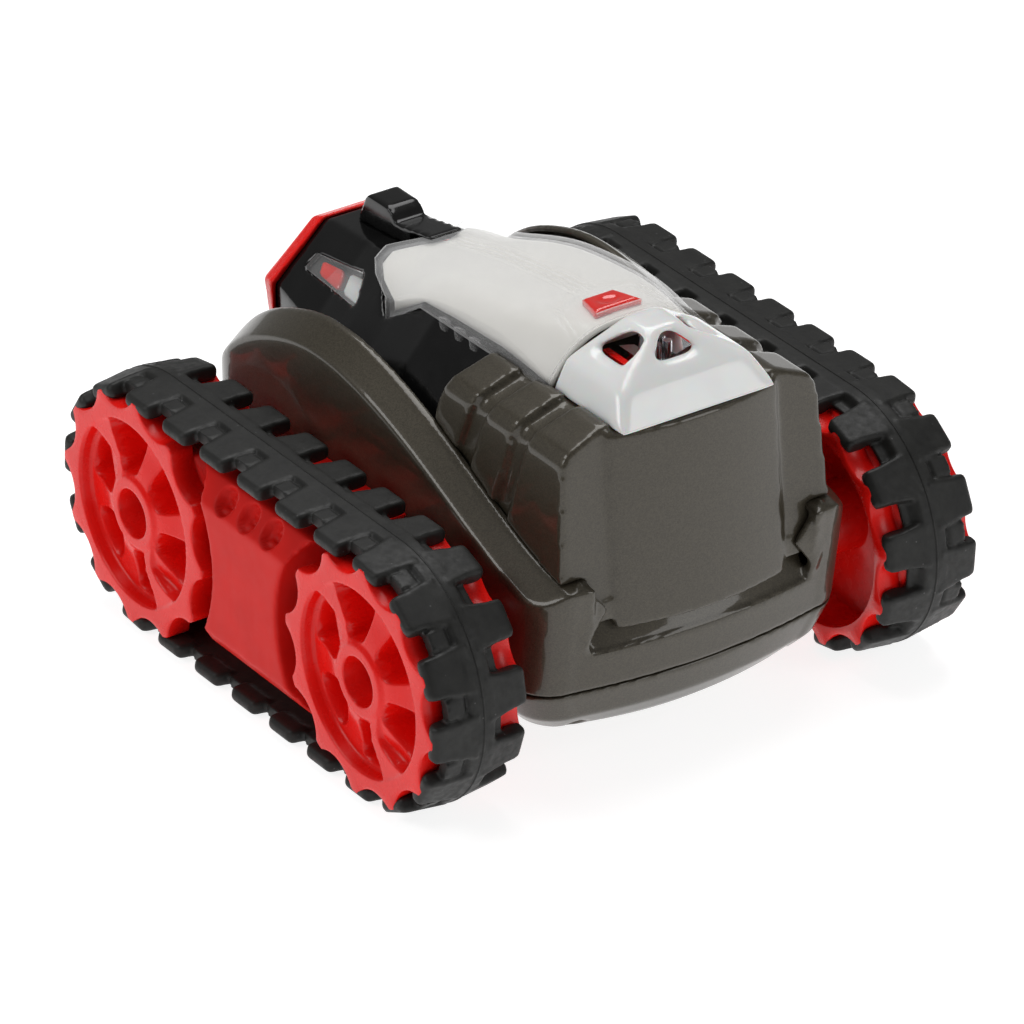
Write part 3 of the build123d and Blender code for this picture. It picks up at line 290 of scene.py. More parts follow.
def all_materials():
    """One material for each slot of the record, and the grained finish of the pods."""
    return {
        "hull_plastic": flake_plastic(),
        "red_plastic": gloss_plastic(
            "red_gloss", (0.72, 0.0060, 0.0040), (0.80, 0.0080, 0.0050), (0.20, 0.32),
            Specular_IOR_Level=0.25),
        "red_grained": gloss_plastic(
            "red_grained", (0.56, 0.0090, 0.0060), (0.62, 0.0110, 0.0080), (0.42, 0.5),
            Specular_IOR_Level=0.12),
        "track_rubber": track_rubber(),
        "black_plastic": gloss_plastic(
            "black_gloss", (0.003, 0.003, 0.003), (0.006, 0.006, 0.006), (0.10, 0.18),
            Specular_IOR_Level=0.4),
        "clear_plastic": clear_plastic(
            "clear_plastic", (0.985, 0.985, 0.985), 0.06, 0.5, IOR=1.5, Specular_IOR_Level=0.8),
        "white_liner": gloss_plastic(
            "white_liner", (0.73, 0.715, 0.675), (0.76, 0.745, 0.705), (0.3, 0.45)),
        "white_bonnet": gloss_plastic(
            "white_bonnet", (0.75, 0.76, 0.75), (0.79, 0.80, 0.79), (0.16, 0.26),
            Subsurface_Weight=0.35, Subsurface_Scale=3 * MM, Coat_Weight=0.4),
        "red_lens": gloss_plastic(
            "red_lens", (0.70, 0.015, 0.012), (0.80, 0.03, 0.02), (0.08, 0.14),
            Subsurface_Weight=0.3, Subsurface_Scale=2 * MM, Coat_Weight=0.6),
        "screw_steel": metal("screw_steel", (0.55, 0.55, 0.57), 0.34),
        "bright_steel": metal("bright_steel", (0.66, 0.66, 0.68), 0.22),
        "gear_nylon": matt_plastic("gear_nylon", (0.72, 0.70, 0.62), (0.80, 0.78, 0.70)),
        "brass": metal("brass", (0.78, 0.58, 0.28), 0.26),
        "chrome": metal("chrome", (0.80, 0.81, 0.83), 0.10),
        "cell_wrap": gloss_plastic("cell_wrap", (0.05, 0.09, 0.2), (0.07, 0.12, 0.26)),
        "board_green": matt_plastic("board_green", (0.01, 0.11, 0.04), (0.02, 0.15, 0.06)),
        "component_black": matt_plastic(
            "component_black", (0.015, 0.015, 0.016), (0.03, 0.03, 0.03)),
        "lamp_white": clear_plastic("lamp_white", (0.95, 0.95, 0.93), 0.15, 0.6),
    }


# ---- rounding of the carried-over CAD nodes ----
SHARP_ANGLE, WELD_REACH = math.radians(32), 0.001 * MM


def smoothing_nodes(limit):
    """Node group that shades faces smooth except over edges sharper than limit."""
    group = bpy.data.node_groups.new("smooth_by_angle", "GeometryNodeTree")
    group.interface.new_socket("Geometry", in_out="INPUT", socket_type="NodeSocketGeometry")
    group.interface.new_socket("Geometry", in_out="OUTPUT", socket_type="NodeSocketGeometry")
    nodes, links = group.nodes, group.links
    start, end = nodes.new("NodeGroupInput"), nodes.new("NodeGroupOutput")
    faces = nodes.new("GeometryNodeSetShadeSmooth")
    edges = nodes.new("GeometryNodeSetShadeSmooth")
    faces.domain, edges.domain = "FACE", "EDGE"
    angle = nodes.new("GeometryNodeInputMeshEdgeAngle")
    soft = nodes.new("FunctionNodeCompare")
    soft.data_type, soft.operation = "FLOAT", "LESS_THAN"
    soft.inputs[1].default_value = limit
    links.new(angle.outputs["Unsigned Angle"], soft.inputs[0])
    links.new(start.outputs[0], faces.inputs["Geometry"])
    links.new(faces.outputs["Geometry"], edges.inputs["Geometry"])
    links.new(soft.outputs["Result"], edges.inputs["Shade Smooth"])
    links.new(edges.outputs["Geometry"], end.inputs[0])
    return group


SMOOTH = smoothing_nodes(SHARP_ANGLE)


def soften(obj, width):
    """Rounds the sharp edges of a CAD node by modifiers, which leave its own mesh alone."""
    weld = obj.modifiers.new("weld", "WELD")
    weld.merge_threshold = WELD_REACH
    smooth = obj.modifiers.new("smooth", "NODES")
    smooth.node_group = SMOOTH
    bevel = obj.modifiers.new("round", "BEVEL")
    bevel.width, bevel.segments = width, 2
    bevel.limit_method, bevel.angle_limit = "ANGLE", SHARP_ANGLE
    bevel.harden_normals = True
    bevel.use_clamp_overlap = True
    bevel.miter_outer = "MITER_ARC"


def moulded_mesh(mesh, name, voxel, passes):
    """Mesh whose overlapping closed shells are made one, with its corners moulded round."""
    copy = bpy.data.objects.new(name, mesh)
    bpy.context.scene.collection.objects.link(copy)
    weld = copy.modifiers.new("weld", "WELD")
    weld.merge_threshold = WELD_REACH
    remesh = copy.modifiers.new("remesh", "REMESH")
    remesh.mode, remesh.voxel_size, remesh.use_smooth_shade = "VOXEL", voxel, True
    ease = copy.modifiers.new("ease", "SMOOTH")
    ease.factor, ease.iterations = 0.5, passes
    bpy.context.view_layer.update()
    graph = bpy.context.evaluated_depsgraph_get()
    made = bpy.data.meshes.new_from_object(copy.evaluated_get(graph))
    bpy.data.objects.remove(copy)
    return made


def add_piece(name, mesh, slot, body, *nodes):
    """Shows a mesh in a slot's material on a body, in place of the CAD nodes named."""
    mesh.materials.clear()
    mesh.materials.append(MATERIALS[slot])
    piece = bpy.data.objects.new(name, mesh)
    bpy.context.scene.collection.objects.link(piece)
    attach(piece, body)
    if nodes:
        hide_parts(*nodes)
    return piece


def remoulded(node, voxel, passes):
    """Replaces a CAD node by a copy of its solid whose corners are moulded round."""
    source = frame["nodes"][node]
    mesh = moulded_mesh(source.data.copy(), node + "_moulding", voxel, passes)
    return add_piece(node + "_moulding", mesh, SLOTS[node], source["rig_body"], node)


def lerp(a, b, share):
    return a + (b - a) * share


def smoothstep(low, high, value):
    t = min(max((value - low) / (high - low), 0.0), 1.0)
    return t * t * (3 - 2 * t)


def table(points, x):
    """Value at x on the broken line through (x, value) points."""
    if x <= points[0][0]:
        return points[0][1]
    for (x0, y0), (x1, y1) in zip(points, points[1:]):
        if x <= x1:
            return lerp(y0, y1, (x - x0) / (x1 - x0))
    return points[-1][1]


def eased(points, x, reach):
    """The broken line at x with its corners rounded over that reach on both sides."""
    return sum(table(points, x + reach * share) for share in (-1, -0.6, -0.2, 0.2, 0.6, 1)) / 6


def mesh_from(name, points, faces):
    mesh = bpy.data.meshes.new(name)
    mesh.from_pydata(points, [], faces)
    mesh.polygons.foreach_set("use_smooth", [True] * len(mesh.polygons))
    mesh.update()
    return mesh


def closed_mesh(name, points, faces, other=None):
    """Mesh of closed shells, their faces turned outward, with another mesh added as it is."""
    mesh = mesh_from(name, points, faces)
    bm = bmesh.new()
    bm.from_mesh(mesh)
    bmesh.ops.recalc_face_normals(bm, faces=bm.faces)
    if other:
        bm.from_mesh(other)
    bm.to_mesh(mesh)
    bm.free()
    return mesh


def tube_faces(rings, size, start=0, closed=False):
    """Quads that join rings of `size` points in order, with end caps unless it closes on itself."""
    faces = []
    for i in range(rings if closed else rings - 1):
        for j in range(size):
            a, b = start + i * size, start + (i + 1) % rings * size
            faces.append((a + j, a + (j + 1) % size, b + (j + 1) % size, b + j))
    if not closed:
        faces.append(tuple(start + j for j in reversed(range(size))))
        faces.append(tuple(start + (rings - 1) * size + j for j in range(size)))
    return faces


def rounded_section(half, low, high, corner):
    """Closed outline of (along, height) points, its corners rounded."""
    outline = []
    spots = [(half - corner, high - corner), (corner - half, high - corner),
             (corner - half, low + corner), (half - corner, low + corner)]
    for quarter, (x, z) in enumerate(spots):
        for i in range(4):
            turn = math.pi / 2 * (quarter + i / 3)
            outline.append((x + corner * math.cos(turn), z + corner * math.sin(turn)))
    return outline


# ---- thumb scoops of the side pods ----
SCOOP_X, SCOOP_Y, SCOOP_Z = (-12.5 * MM, 0, 12.5 * MM), 96.4 * MM, AXLE_Z + 26.0 * MM
SCOOP_HALF_WIDTH, SCOOP_HALF_LENGTH, SCOOP_DEPTH = 4.4 * MM, 5.2 * MM, 2.3 * MM
FOLD_HEIGHT, FOLD_HALF = 0.7 * MM, 0.5 * MM
BEVEL_OUT, BEVEL_UP = 0.80, 0.60  # the pod's upper bevel faces this way


def scooped(mesh, side):
    """Presses three thumb scoops, each with a fold, into the upper bevel of a pod's skin."""
    for vertex in mesh.vertices:
        x, y, z = vertex.co
        out, up = side * y - SCOOP_Y, z - SCOOP_Z
        along = out * BEVEL_UP - up * BEVEL_OUT
        if out * BEVEL_OUT + up * BEVEL_UP < -6 * MM:
            continue
        for middle in SCOOP_X:
            reach = ((x - middle) / SCOOP_HALF_WIDTH) ** 2 + (along / SCOOP_HALF_LENGTH) ** 2
            press = SCOOP_DEPTH * smoothstep(0.0, 0.45, 1 - reach)
            fold = FOLD_HEIGHT * math.exp(-((x - middle + 0.5 * along) / FOLD_HALF) ** 2)
            press -= fold * smoothstep(0.1, 0.5, 1 - reach)
            vertex.co.y -= side * BEVEL_OUT * press
            vertex.co.z -= BEVEL_UP * press
    mesh.update()


# ---- wheels ----
TEETH, PITCH = 12, 21.0 * MM
PITCH_DEGREES = 360 / TEETH
TIP_R, VALLEY_R, VALLEY_C, TOOTH_ROUND = 39.8 * MM, 12.1 * MM, 47.2 * MM, 0.5 * MM
WHEEL_W, RIM_W, DRUM_R = 33.6 * MM, 8.2 * MM, 37.0 * MM
WHEELBASE, TRACK_Y = 126 * MM, 82.6 * MM
AXLE_X = {"front": WHEELBASE / 2, "rear": -WHEELBASE / 2}
BORE_R = {"front": 2.6 * MM, "rear": 3.2 * MM}
OUTER_PHASE, INNER_PHASE = math.radians(5), math.radians(20)
WHEEL_STEPS, EDGE = 288, 0.5 * MM

# The web, in millimetres and degrees. A reach is where a slope starts and ends.
HUB_REACH, DISH_REACH, WALL_REACH = (11.0, 13.0), (11.5, 27.0), (29.6, 31.0)
HUB_DROP, DISH_DROP = 1.0, 3.2
ARM_LEAN = [(11, 8), (14, -8), (18, -15), (25, -9), (31, -4)]
ARM_HALF = [(11, 3.0), (16, 1.7), (21, 2.2), (27, 4.2), (31, 6.5)]
ARM_ANGLES, ARM_DROP, ARM_SLOPE = (130, 310), 0.5, 1.2
POCKET_ANGLE, POCKET_STEP, POCKET_HALF = 40, 60, 18.5
POCKET_REACH, POCKET_SLOPE, POCKET_ROUND, POCKET_DROP = (13.2, 28.6), (-0.3, 0.9), 1.4, 12.5
WEB_RADII = [8.25, 8.8, 9.6, 10.4, 11.0, 11.5, 12.0, 12.6, 13.2, 13.7, 14.2, 14.8]
WEB_RADII += [15.6 + i for i in range(12)]
WEB_RADII += [27.2, 27.7, 28.2, 28.7, 29.2, 29.7, 30.1, 30.5, 30.9, 31.4]
HOLLOW_BACK = [(33, 0), (32.6, 0.4), (32.6, 13.6), (32.2, 14), (11.6, 14), (11.2, 13.6),
               (11.2, 0.4), (10.8, 0)]
SCREW_SEAT = [(7.6, 19), (8.0, 19.4)]


def rim_radius(angle, phase):
    """Edge of a toothed rim at a polar angle, with its first tooth at phase."""
    step = 2 * math.pi / TEETH
    off = (angle - phase) % step - step / 2
    reach = VALLEY_C * math.sin(off)
    if abs(reach) >= VALLEY_R:
        return TIP_R
    valley = VALLEY_C * math.cos(off) - math.sqrt(VALLEY_R ** 2 - reach ** 2)
    share = min(max(0.5 + 0.5 * (TIP_R - valley) / TOOTH_ROUND, 0), 1)
    return lerp(TIP_R, valley, share) - TOOTH_ROUND * share * (1 - share)


def web_height(r, angle):
    """Height of the web against the rim's face: dish, six pockets and a pair of S arms."""
    mm, degrees = r / MM, math.degrees(angle)
    dish = -(HUB_DROP + DISH_DROP * smoothstep(*DISH_REACH, mm)) * smoothstep(*HUB_REACH, mm)
    lean, half = table(ARM_LEAN, mm), table(ARM_HALF, mm)
    arm = 0.0
    for centre in ARM_ANGLES:
        off = (degrees - centre - lean + 180) % 360 - 180
        distance = abs(math.radians(off)) * mm
        arm = max(arm, 1 - smoothstep(half, half + ARM_SLOPE, distance))
    height = lerp(dish, -ARM_DROP * smoothstep(11.0, 12.5, mm), arm)

    nearest = (degrees - POCKET_ANGLE) % POCKET_STEP
    spread = math.radians(min(nearest, POCKET_STEP - nearest))
    walls = (mm * math.sin(math.radians(POCKET_HALF) - spread),
             mm - POCKET_REACH[0], POCKET_REACH[1] - mm)
    # The soft minimum of the distances to the walls rounds the pocket's corners.
    inside = -POCKET_ROUND * math.log(sum(math.exp(-wall / POCKET_ROUND) for wall in walls))
    pocket = smoothstep(*POCKET_SLOPE, inside) * (1 - arm)
    height = lerp(height, -POCKET_DROP, pocket)
    return lerp(height, 0, smoothstep(*WALL_REACH, mm)) * MM


def wheel_ring(angle, bore):
    """Closed profile of a wheel at an angle, as (radius, depth from its inner face)."""
    outer = rim_radius(angle, math.pi / 2 - OUTER_PHASE)
    inner = rim_radius(angle, math.pi / 2 - INNER_PHASE)
    ring = [(8.0 * MM, WHEEL_W - 0.4 * MM)]
    ring += [(r * MM, WHEEL_W + web_height(r * MM, angle)) for r in WEB_RADII]
    ring += [(lerp(32 * MM, outer - 0.8 * MM, share), WHEEL_W) for share in (0.1, 0.5, 1)]
    ring += [(outer - 0.3 * MM, WHEEL_W - 0.1 * MM), (outer, WHEEL_W - EDGE)]
    ring += [(outer, WHEEL_W - RIM_W + EDGE), (outer - EDGE, WHEEL_W - RIM_W)]
    ring += [(DRUM_R, WHEEL_W - RIM_W - 0.1 * MM), (DRUM_R, RIM_W + 0.1 * MM)]
    ring += [(inner - EDGE, RIM_W), (inner, RIM_W - EDGE), (inner, EDGE), (inner - EDGE, 0)]
    ring += [(r * MM, depth * MM) for r, depth in HOLLOW_BACK]
    ring += [(bore + 0.3 * MM, 0), (bore, 0.3 * MM), (bore, 19 * MM)]
    ring += [(r * MM, depth * MM) for r, depth in SCREW_SEAT]
    return ring


def wheel_mesh(side, end):
    """Wheel as one closed skin of profiles round its axle."""
    points = []
    for count in range(WHEEL_STEPS):
        angle = 2 * math.pi * count / WHEEL_STEPS
        ring = wheel_ring(angle, BORE_R[end])
        for r, depth in ring:
            x = AXLE_X[end] + r * math.cos(angle)
            y = side * (TRACK_Y - WHEEL_W / 2 + depth)
            points.append((x, y, AXLE_Z + r * math.sin(angle)))
    faces = tube_faces(WHEEL_STEPS, len(ring), closed=True)
    if side > 0:
        faces = [face[::-1] for face in faces]
    return mesh_from(f"{end}_wheel", points, faces)


# ---- belts ----
LEG = 6  # pitches round half of either wheel, and along either straight
BELT_PITCHES = 4 * LEG
BELT_R, BELT_VOXEL = 42.5 * MM, 0.6 * MM
BAND = [(-8.3, 37.6), (-8.3, 39.0), (-5.6, 39.2), (-3.8, 42.3), (0, 42.5), (3.8, 42.3),
        (5.6, 39.2), (8.3, 39.0), (8.3, 37.6), (0, 37.6)]
RIB = [(-0.5, 42.2), (-0.2, 42.75), (0.2, 42.75), (0.5, 42.2)]
LUG_ROOT, LUG_TIP, LUG_TRIM = 2.0 * MM, 16.8 * MM, 2.0 * MM
LUG_BOTTOM_R, LUG_TIP_R, LUG_ROOT_FLARE = 36.0 * MM, 40.9 * MM, 1.6
LUG_HALF = {1: 6.4 * MM, -1: 6.0 * MM}
PAD_HALF, PAD_DEPTH, PAD_TOP, PAD_REACH = 3.1 * MM, 5 * MM, 1.0 * MM, (5.9 * MM, 11.6 * MM)


def belt_point(pitches, r, off=0.0):
    """X and Z at radius r, some pitches round the belt from the front wheel's top, and off along."""
    lap = pitches % BELT_PITCHES
    if lap < LEG or 2 * LEG <= lap < 3 * LEG:
        end, turn = ("front", lap) if lap < LEG else ("rear", lap - LEG)
        angle = math.radians(PITCH_DEGREES * turn)
        c, s = math.cos(angle), math.sin(angle)
        return AXLE_X[end] + r * s + off * c, AXLE_Z + r * c - off * s
    if lap < 2 * LEG:
        return AXLE_X["front"] - (lap - LEG) * PITCH - off, AXLE_Z - r
    return AXLE_X["rear"] + (lap - 3 * LEG) * PITCH + off, AXLE_Z + r


def belt_tube(laps, section, side):
    """Points and faces of a closed section, (across, radius) in millimetres, run round the belt."""
    points = []
    for lap in laps:
        for across, r in section:
            x, z = belt_point(lap, r * MM)
            points.append((x, side * (TRACK_Y + across * MM), z))
    return points, tube_faces(len(laps), len(section), closed=True)


def lug_sections(edge):
    """Sections of a lug from its root in the band to its rounded tip, as (distance, outline)."""
    sections = []
    for share in (0.0, 0.35, 0.6, 0.8, 0.92, 0.975, 1.0):
        near_tip = LUG_TRIM * max(0.0, share - 0.88) / 0.12
        trim = near_tip * near_tip / LUG_TRIM
        over = smoothstep(0.36, 0.50, share)
        top = lerp(BELT_R - 0.2 * MM, LUG_TIP_R, share) - trim * 0.8
        low = lerp(38.4 * MM, LUG_BOTTOM_R, over) + trim
        half = LUG_HALF[edge] - trim * 0.8
        flare = lerp(LUG_ROOT_FLARE, 0.0, min(share * 1.6, 1.0)) * MM
        outline = rounded_section(half + flare, low, top, 1.1 * MM)
        sections.append((lerp(LUG_ROOT, LUG_TIP, share), outline))
    return sections


def belt_mesh(side):
    """Belt: crowned band, lugs on both edges, pads between the outer lugs, a rib on the crown."""
    laps = [i / 10 for i in range(61)] + [7 + i for i in range(5)]
    laps += [2 * LEG + lap for lap in laps]
    points, faces = belt_tube(laps, BAND, side)
    pad = rounded_section(PAD_HALF, BELT_R - PAD_DEPTH, BELT_R - PAD_TOP, 0.5 * MM)
    for edge, phase in ((1, OUTER_PHASE), (-1, INNER_PHASE)):
        for count in range(BELT_PITCHES):
            lap = phase / math.radians(PITCH_DEGREES) + count
            blocks = [(lap, lug_sections(edge))]
            if edge > 0:
                blocks.append((lap + 0.5, [(out, pad) for out in PAD_REACH]))
            for middle, sections in blocks:
                base = len(points)
                for out, outline in sections:
                    for along, r in outline:
                        x, z = belt_point(middle, r, along)
                        points.append((x, side * (TRACK_Y + edge * out), z))
                faces += tube_faces(len(sections), len(outline), base)
    tread = moulded_mesh(closed_mesh("belt", points, faces), "belt", BELT_VOXEL, 2)
    return closed_mesh("ribbed_belt", *belt_tube(laps, RIB, side), tread)


# ---- clear roof and its white liner, in millimetres ----
ROOF_TOP = [(-48, 117.5), (-37, 120), (-27, 122), (-17, 124.6), (-7, 127), (5, 129.1),
            (20, 131.2), (35, 132.8), (48, 134.4), (61, 135.5)]
ROOF_SHOULDER = [(-48, 109), (-26, 111), (-7, 121.5), (10, 124.5), (35, 126.5), (50, 124),
                 (61, 121.3)]
ROOF_FULLNESS = [(-48, 2.4), (-26, 3.2), (0, 5.0), (35, 5.5), (61, 2.6)]
ROOF_FOOT = [(-48, 104), (-26, 104), (-7, 116.4), (35, 116.9), (61, 117.3)]
ROOF_REAR = [(0.0, -38), (0.25, -42), (0.5, -47.5), (0.7, -45), (0.85, -38), (1.0, -26)]
ROOF_FRONT, ROOF_HALF = 60.9, 29.3
ROOF_COLUMNS, ROOF_ROWS, ROOF_SKIRT = 190, 110, 2
CHANNEL_PATH = [(-60, 1.2), (37, 1.2), (45, 13.5), (61, 17.5)]
CHANNELS = ((0.0, 0.55), (2.1, 0.4))  # how far out from the path, and how deep
CHANNEL_HALF, CHANNEL_START = 0.6, (-36, -30)
LENS_BACK, LENS_FRONT = (45.2, 5.6), (56.0, 8.4)
LENS_COLUMNS, LENS_ROWS = 30, 24
LENS_PROUD, LENS_ROUND, LENS_UNDER = 0.5, 0.7, 2.6
DIMPLE_X, DIMPLE_HALF_X, DIMPLE_HALF_Y, DIMPLE_DEPTH = 51, 2.4, 3.2, 0.7


def roof_height(x, y, inset=0.0):
    """Height of the dome over a point."""
    share = min(abs(y) / ROOF_HALF, 1.0)
    top, shoulder = eased(ROOF_TOP, x, 5), eased(ROOF_SHOULDER, x, 7)
    return top - inset - (top - shoulder) * share ** eased(ROOF_FULLNESS, x, 9)


def lens_reach(x):
    """Half width of the lamp lens at x, or a negative number away from it."""
    if not LENS_BACK[0] <= x <= LENS_FRONT[0]:
        return -1.0
    return table([LENS_BACK, LENS_FRONT], x)


def channel_depth(x, y):
    """Depth of the two fine channels that run along the roof and out round the lamp lens."""
    (_, _), (bend, _), (end, _), _ = CHANNEL_PATH
    slant = 0.55 if bend < x < end else 1.0
    path = table(CHANNEL_PATH, x)
    depth = 0.0
    for out, deep in CHANNELS:
        off = (abs(y) - (path + out)) * slant
        depth += deep * math.exp(-(off / CHANNEL_HALF) ** 2)
    return depth * smoothstep(*CHANNEL_START, x)


def roof_points(inset, wall, back, foot_share, grooved):
    """Points of the roof's outer and inner skin, and the index of each (level, column, row)."""
    half = ROOF_HALF - inset
    last = ROOF_COLUMNS + ROOF_SKIRT
    points, index = [], {}
    for level in (0.0, wall):
        for i in range(last + ROOF_SKIRT + 1):
            lower = max(0, ROOF_SKIRT - i, i - last)
            v = -1 + 2 * min(max(i - ROOF_SKIRT, 0), ROOF_COLUMNS) / ROOF_COLUMNS
            start = table(ROOF_REAR, abs(v)) + back
            for j in range(ROOF_ROWS + 1):
                x, y = lerp(start, ROOF_FRONT, j / ROOF_ROWS), v * half
                z = roof_height(x, y * ROOF_HALF / half, inset)
                if grooved:
                    z -= channel_depth(x, y)
                foot = lerp(table(ROOF_SHOULDER, x) - inset, table(ROOF_FOOT, x), foot_share)
                z = lerp(z, foot, lower / ROOF_SKIRT) - (level * 0.15 if lower else level)
                index[level, i, j] = len(points)
                points.append((x * MM, y * (1 - level / half) * MM, z * MM))
    return points, index


def roof_mesh(name, inset, wall, back, foot_share, grooved):
    """Roof sheet as a closed shell: outer skin, inner skin and rim, with the lamp lens left out."""
    points, index = roof_points(inset, wall, back, foot_share, grooved)
    faces = []
    for i in range(ROOF_COLUMNS + 2 * ROOF_SKIRT):
        for j in range(ROOF_ROWS):
            here, ahead, beside = (index[0.0, a, b] for a, b in ((i, j), (i, j + 1), (i + 1, j)))
            x = (points[here][0] + points[ahead][0]) / 2 / MM
            y = (points[here][1] + points[beside][1]) / 2 / MM
            if abs(y) < lens_reach(x) - 0.4:
                continue
            corners = [(i, j), (i, j + 1), (i + 1, j + 1), (i + 1, j)]
            faces.append(tuple(index[0.0, a, b] for a, b in corners))
            faces.append(tuple(index[wall, a, b] for a, b in reversed(corners)))

    # An outer edge with a face on one side only is where the rim joins the two skins.
    edges = {edge: None for face in faces[::2] for edge in zip(face, face[1:] + face[:1])}
    under = len(points) // 2
    faces += [(b, a, a + under, b + under) for a, b in edges if (b, a) not in edges]
    used = sorted({corner for face in faces for corner in face})
    place = {corner: count for count, corner in enumerate(used)}
    faces = [tuple(place[corner] for corner in face) for face in faces]
    return closed_mesh(name, [points[corner] for corner in used], faces)


def lens_mesh():
    """Roof lamp lens: a slightly proud cap with a rounded edge and a finger dimple."""
    points, faces = [], []
    for under in (False, True):
        for i in range(LENS_COLUMNS + 1):
            for j in range(LENS_ROWS + 1):
                u, v = -1 + 2 * i / LENS_COLUMNS, -1 + 2 * j / LENS_ROWS
                x = lerp(LENS_BACK[0], LENS_FRONT[0], j / LENS_ROWS)
                y = lens_reach(min(x, LENS_FRONT[0])) * u
                if under:
                    z = roof_height(x, y) - LENS_UNDER
                else:
                    rim = min(1 - abs(u), 1 - abs(v)) * 5
                    z = roof_height(x, y) + LENS_PROUD - LENS_ROUND * (1 - smoothstep(0, 0.9, rim))
                    near = ((x - DIMPLE_X) / DIMPLE_HALF_X) ** 2 + (y / DIMPLE_HALF_Y) ** 2
                    z -= DIMPLE_DEPTH * math.exp(-near ** 2)
                points.append((x * MM, y * MM, z * MM))
    column = LENS_ROWS + 1
    size = (LENS_COLUMNS + 1) * column
    for i in range(LENS_COLUMNS):
        for j in range(LENS_ROWS):
            a = i * column + j
            quad = (a, a + 1, a + column + 1, a + column)
            faces += [quad, tuple(corner + size for corner in reversed(quad))]
    border = [i * column for i in range(LENS_COLUMNS + 1)]
    border += [LENS_COLUMNS * column + j for j in range(1, column)]
    border += [i * column + LENS_ROWS for i in reversed(range(LENS_COLUMNS))]
    border += [j for j in reversed(range(1, LENS_ROWS))]
    for a, b in zip(border, border[1:] + border[:1]):
        faces.append((a, b, b + size, a + size))
    return closed_mesh("roof_lens", points, faces)


# ---- canopy prongs and the lamp bodies behind the side lenses, in millimetres ----
PRONG_X, PRONG_INSET = (5.5, 13.5, 21.5), 0.9
PRONG_SECTIONS = ((117.4, 2.3, 1.0), (114.5, 2.0, 0.9), (112.2, 1.4, 0.7), (111.4, 0.7, 0.4))
FLANK_CENTRE, FLANK_SLOPE = (-63.0, 23.5, 100.8), math.sqrt(0.5)
LAMP_DEPTH, LAMP_THICK = 2.6, 3.0
LAMPS = {
    "red_lens": [(-12.5, -2.6), (-1.5, -3.7), (1.5, 2.6), (-10.5, 1.6)],
    "white_bonnet": [(1.5, -4.2), (9.3, -5.0), (14.5, 3.0), (3.6, 2.4)],
}


def joined(name, shells):
    """One mesh of several closed shells, each given as its rings of points."""
    points, faces = [], []
    for rings in shells:
        base = len(points)
        for ring in rings:
            points += ring
        faces += tube_faces(len(rings), len(rings[0]), base)
    return closed_mesh(name, points, faces)


def canopy_teeth():
    """Three short tapered prongs under each edge of the clear roof."""
    shells = []
    for side in SIDES.values():
        y = side * (ROOF_HALF - PRONG_INSET) * MM
        for x in PRONG_X:
            rings = []
            for z, half, thick in PRONG_SECTIONS:
                section = rounded_section(half * MM, -thick * MM, thick * MM, thick * 0.8 * MM)
                rings.append([(x * MM + along, y + out, z * MM) for along, out in section])
            shells.append(rings)
    return joined("canopy_teeth", shells)


def lamp_block(side, corners):
    """Rings of a soft-edged block laid under the cab's sloped flank."""
    rings = []
    middle = [sum(corner[i] for corner in corners) / len(corners) for i in (0, 1)]
    for sunk, grow in ((1, 0.9), (0.2, 1.0), (0.05, 0.97), (0, 0.86)):
        drop = LAMP_DEPTH + LAMP_THICK * sunk
        ring = []
        for corner, following in zip(corners, corners[1:] + corners[:1]):
            for share in (0.12, 0.5, 0.88):
                a, b = (lerp(middle[i], lerp(corner[i], following[i], share), grow) for i in (0, 1))
                x, y, z = FLANK_CENTRE
                y, z = y + (b - drop) * FLANK_SLOPE, z - (b + drop) * FLANK_SLOPE
                ring.append(((x + a) * MM, side * y * MM, z * MM))
        rings.append(ring)
    return rings


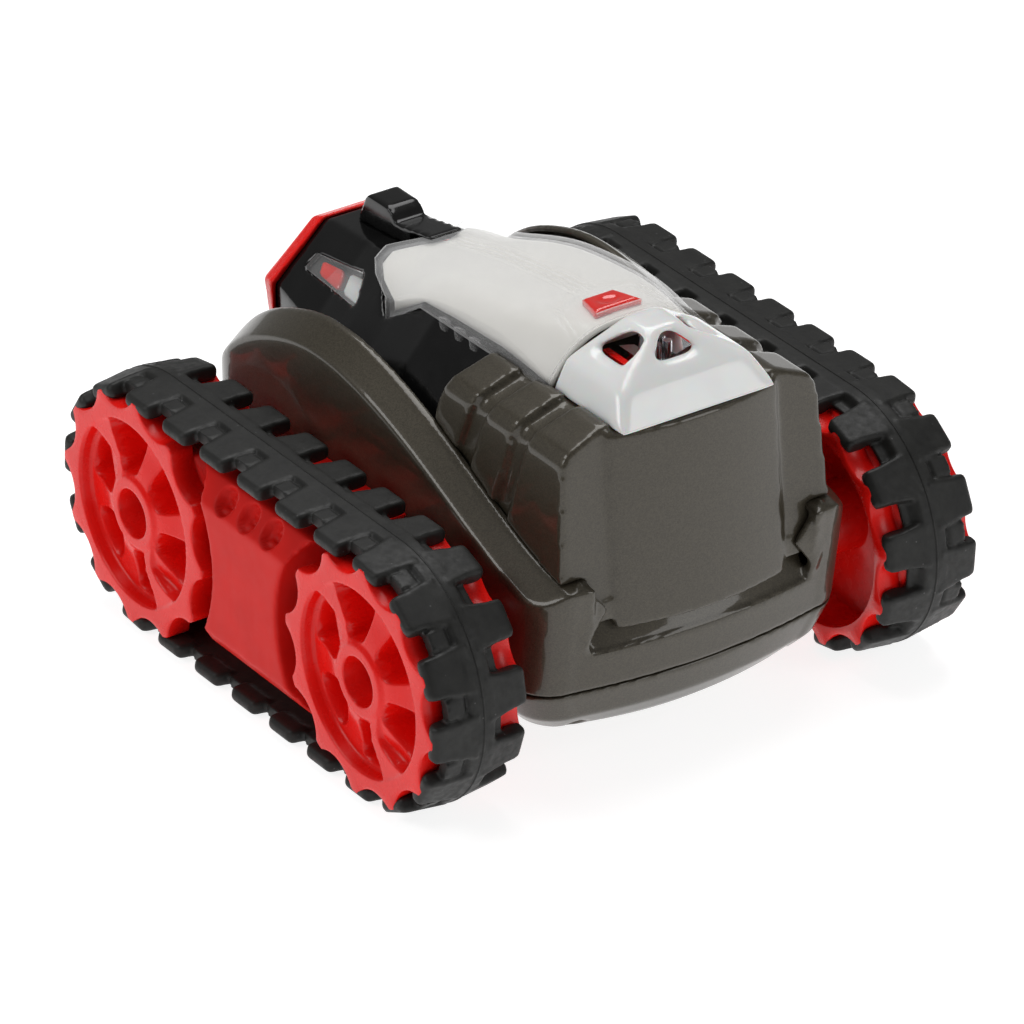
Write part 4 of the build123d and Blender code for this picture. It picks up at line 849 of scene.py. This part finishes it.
# ---- the vehicle ----
ROUNDING = {"screw": 0.12 * MM, "gear": 0.08 * MM}
PLAIN_ROUNDING, VOXEL = 0.25 * MM, 0.8 * MM
REMOULD = {"upper_hull": 14, "lower_hull": 8, "engine_cowl": 16, "cab_shell": 8, "bonnet": 60,
           "tail_frame": 3, "top_scoop": 4, "side_pod_left": 10, "side_pod_right": 10}

MATERIALS = all_materials()
SLOTS = {part["node"]: part["material_slot"] for part in frame["record"]["subparts"]}
add_camera()
add_studio()
add_floor()

for node, obj in frame["nodes"].items():
    obj.data.materials.clear()
    obj.data.materials.append(MATERIALS[SLOTS[node]])
    soften(obj, next((width for word, width in ROUNDING.items() if word in node), PLAIN_ROUNDING))

for node, passes in REMOULD.items():
    piece = remoulded(node, VOXEL, passes)
    if "side_pod" in node:
        piece.data.materials[0] = MATERIALS["red_grained"]
        scooped(piece.data, SIDES[node.rsplit("_", 1)[1]])

for name, side in SIDES.items():
    for end in AXLE_X:
        wheel = f"{end}_wheel_{name}"
        body = frame["nodes"][wheel]["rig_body"]
        add_piece(wheel + "_moulding", wheel_mesh(side, end), "red_plastic", body, wheel)
    belt = f"track_belt_{name}"
    body = frame["nodes"][belt]["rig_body"]
    add_piece(belt + "_rubber", belt_mesh(side), "track_rubber", body, belt)

ROOF_BODY = frame["nodes"]["clear_canopy"]["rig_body"]
canopy = roof_mesh("canopy", inset=0.0, wall=1.2, back=0.0, foot_share=1.0, grooved=True)
add_piece("canopy_sheet", canopy, "clear_plastic", ROOF_BODY, "clear_canopy")
liner = roof_mesh("liner", inset=1.9, wall=1.4, back=2.4, foot_share=0.55, grooved=False)
add_piece("liner_sheet", liner, "white_liner", ROOF_BODY, "roof_liner")
add_piece("canopy_teeth", canopy_teeth(), "clear_plastic", ROOF_BODY)
for name, side in SIDES.items():
    for slot, corners in LAMPS.items():
        block = joined("lamp_body", [lamp_block(side, corners)])
        add_piece(f"{slot}_lamp_{name}", block, slot, ROOF_BODY)
add_piece("roof_lens_cap", lens_mesh(), "red_lens", ROOF_BODY, "roof_lamp_lens")
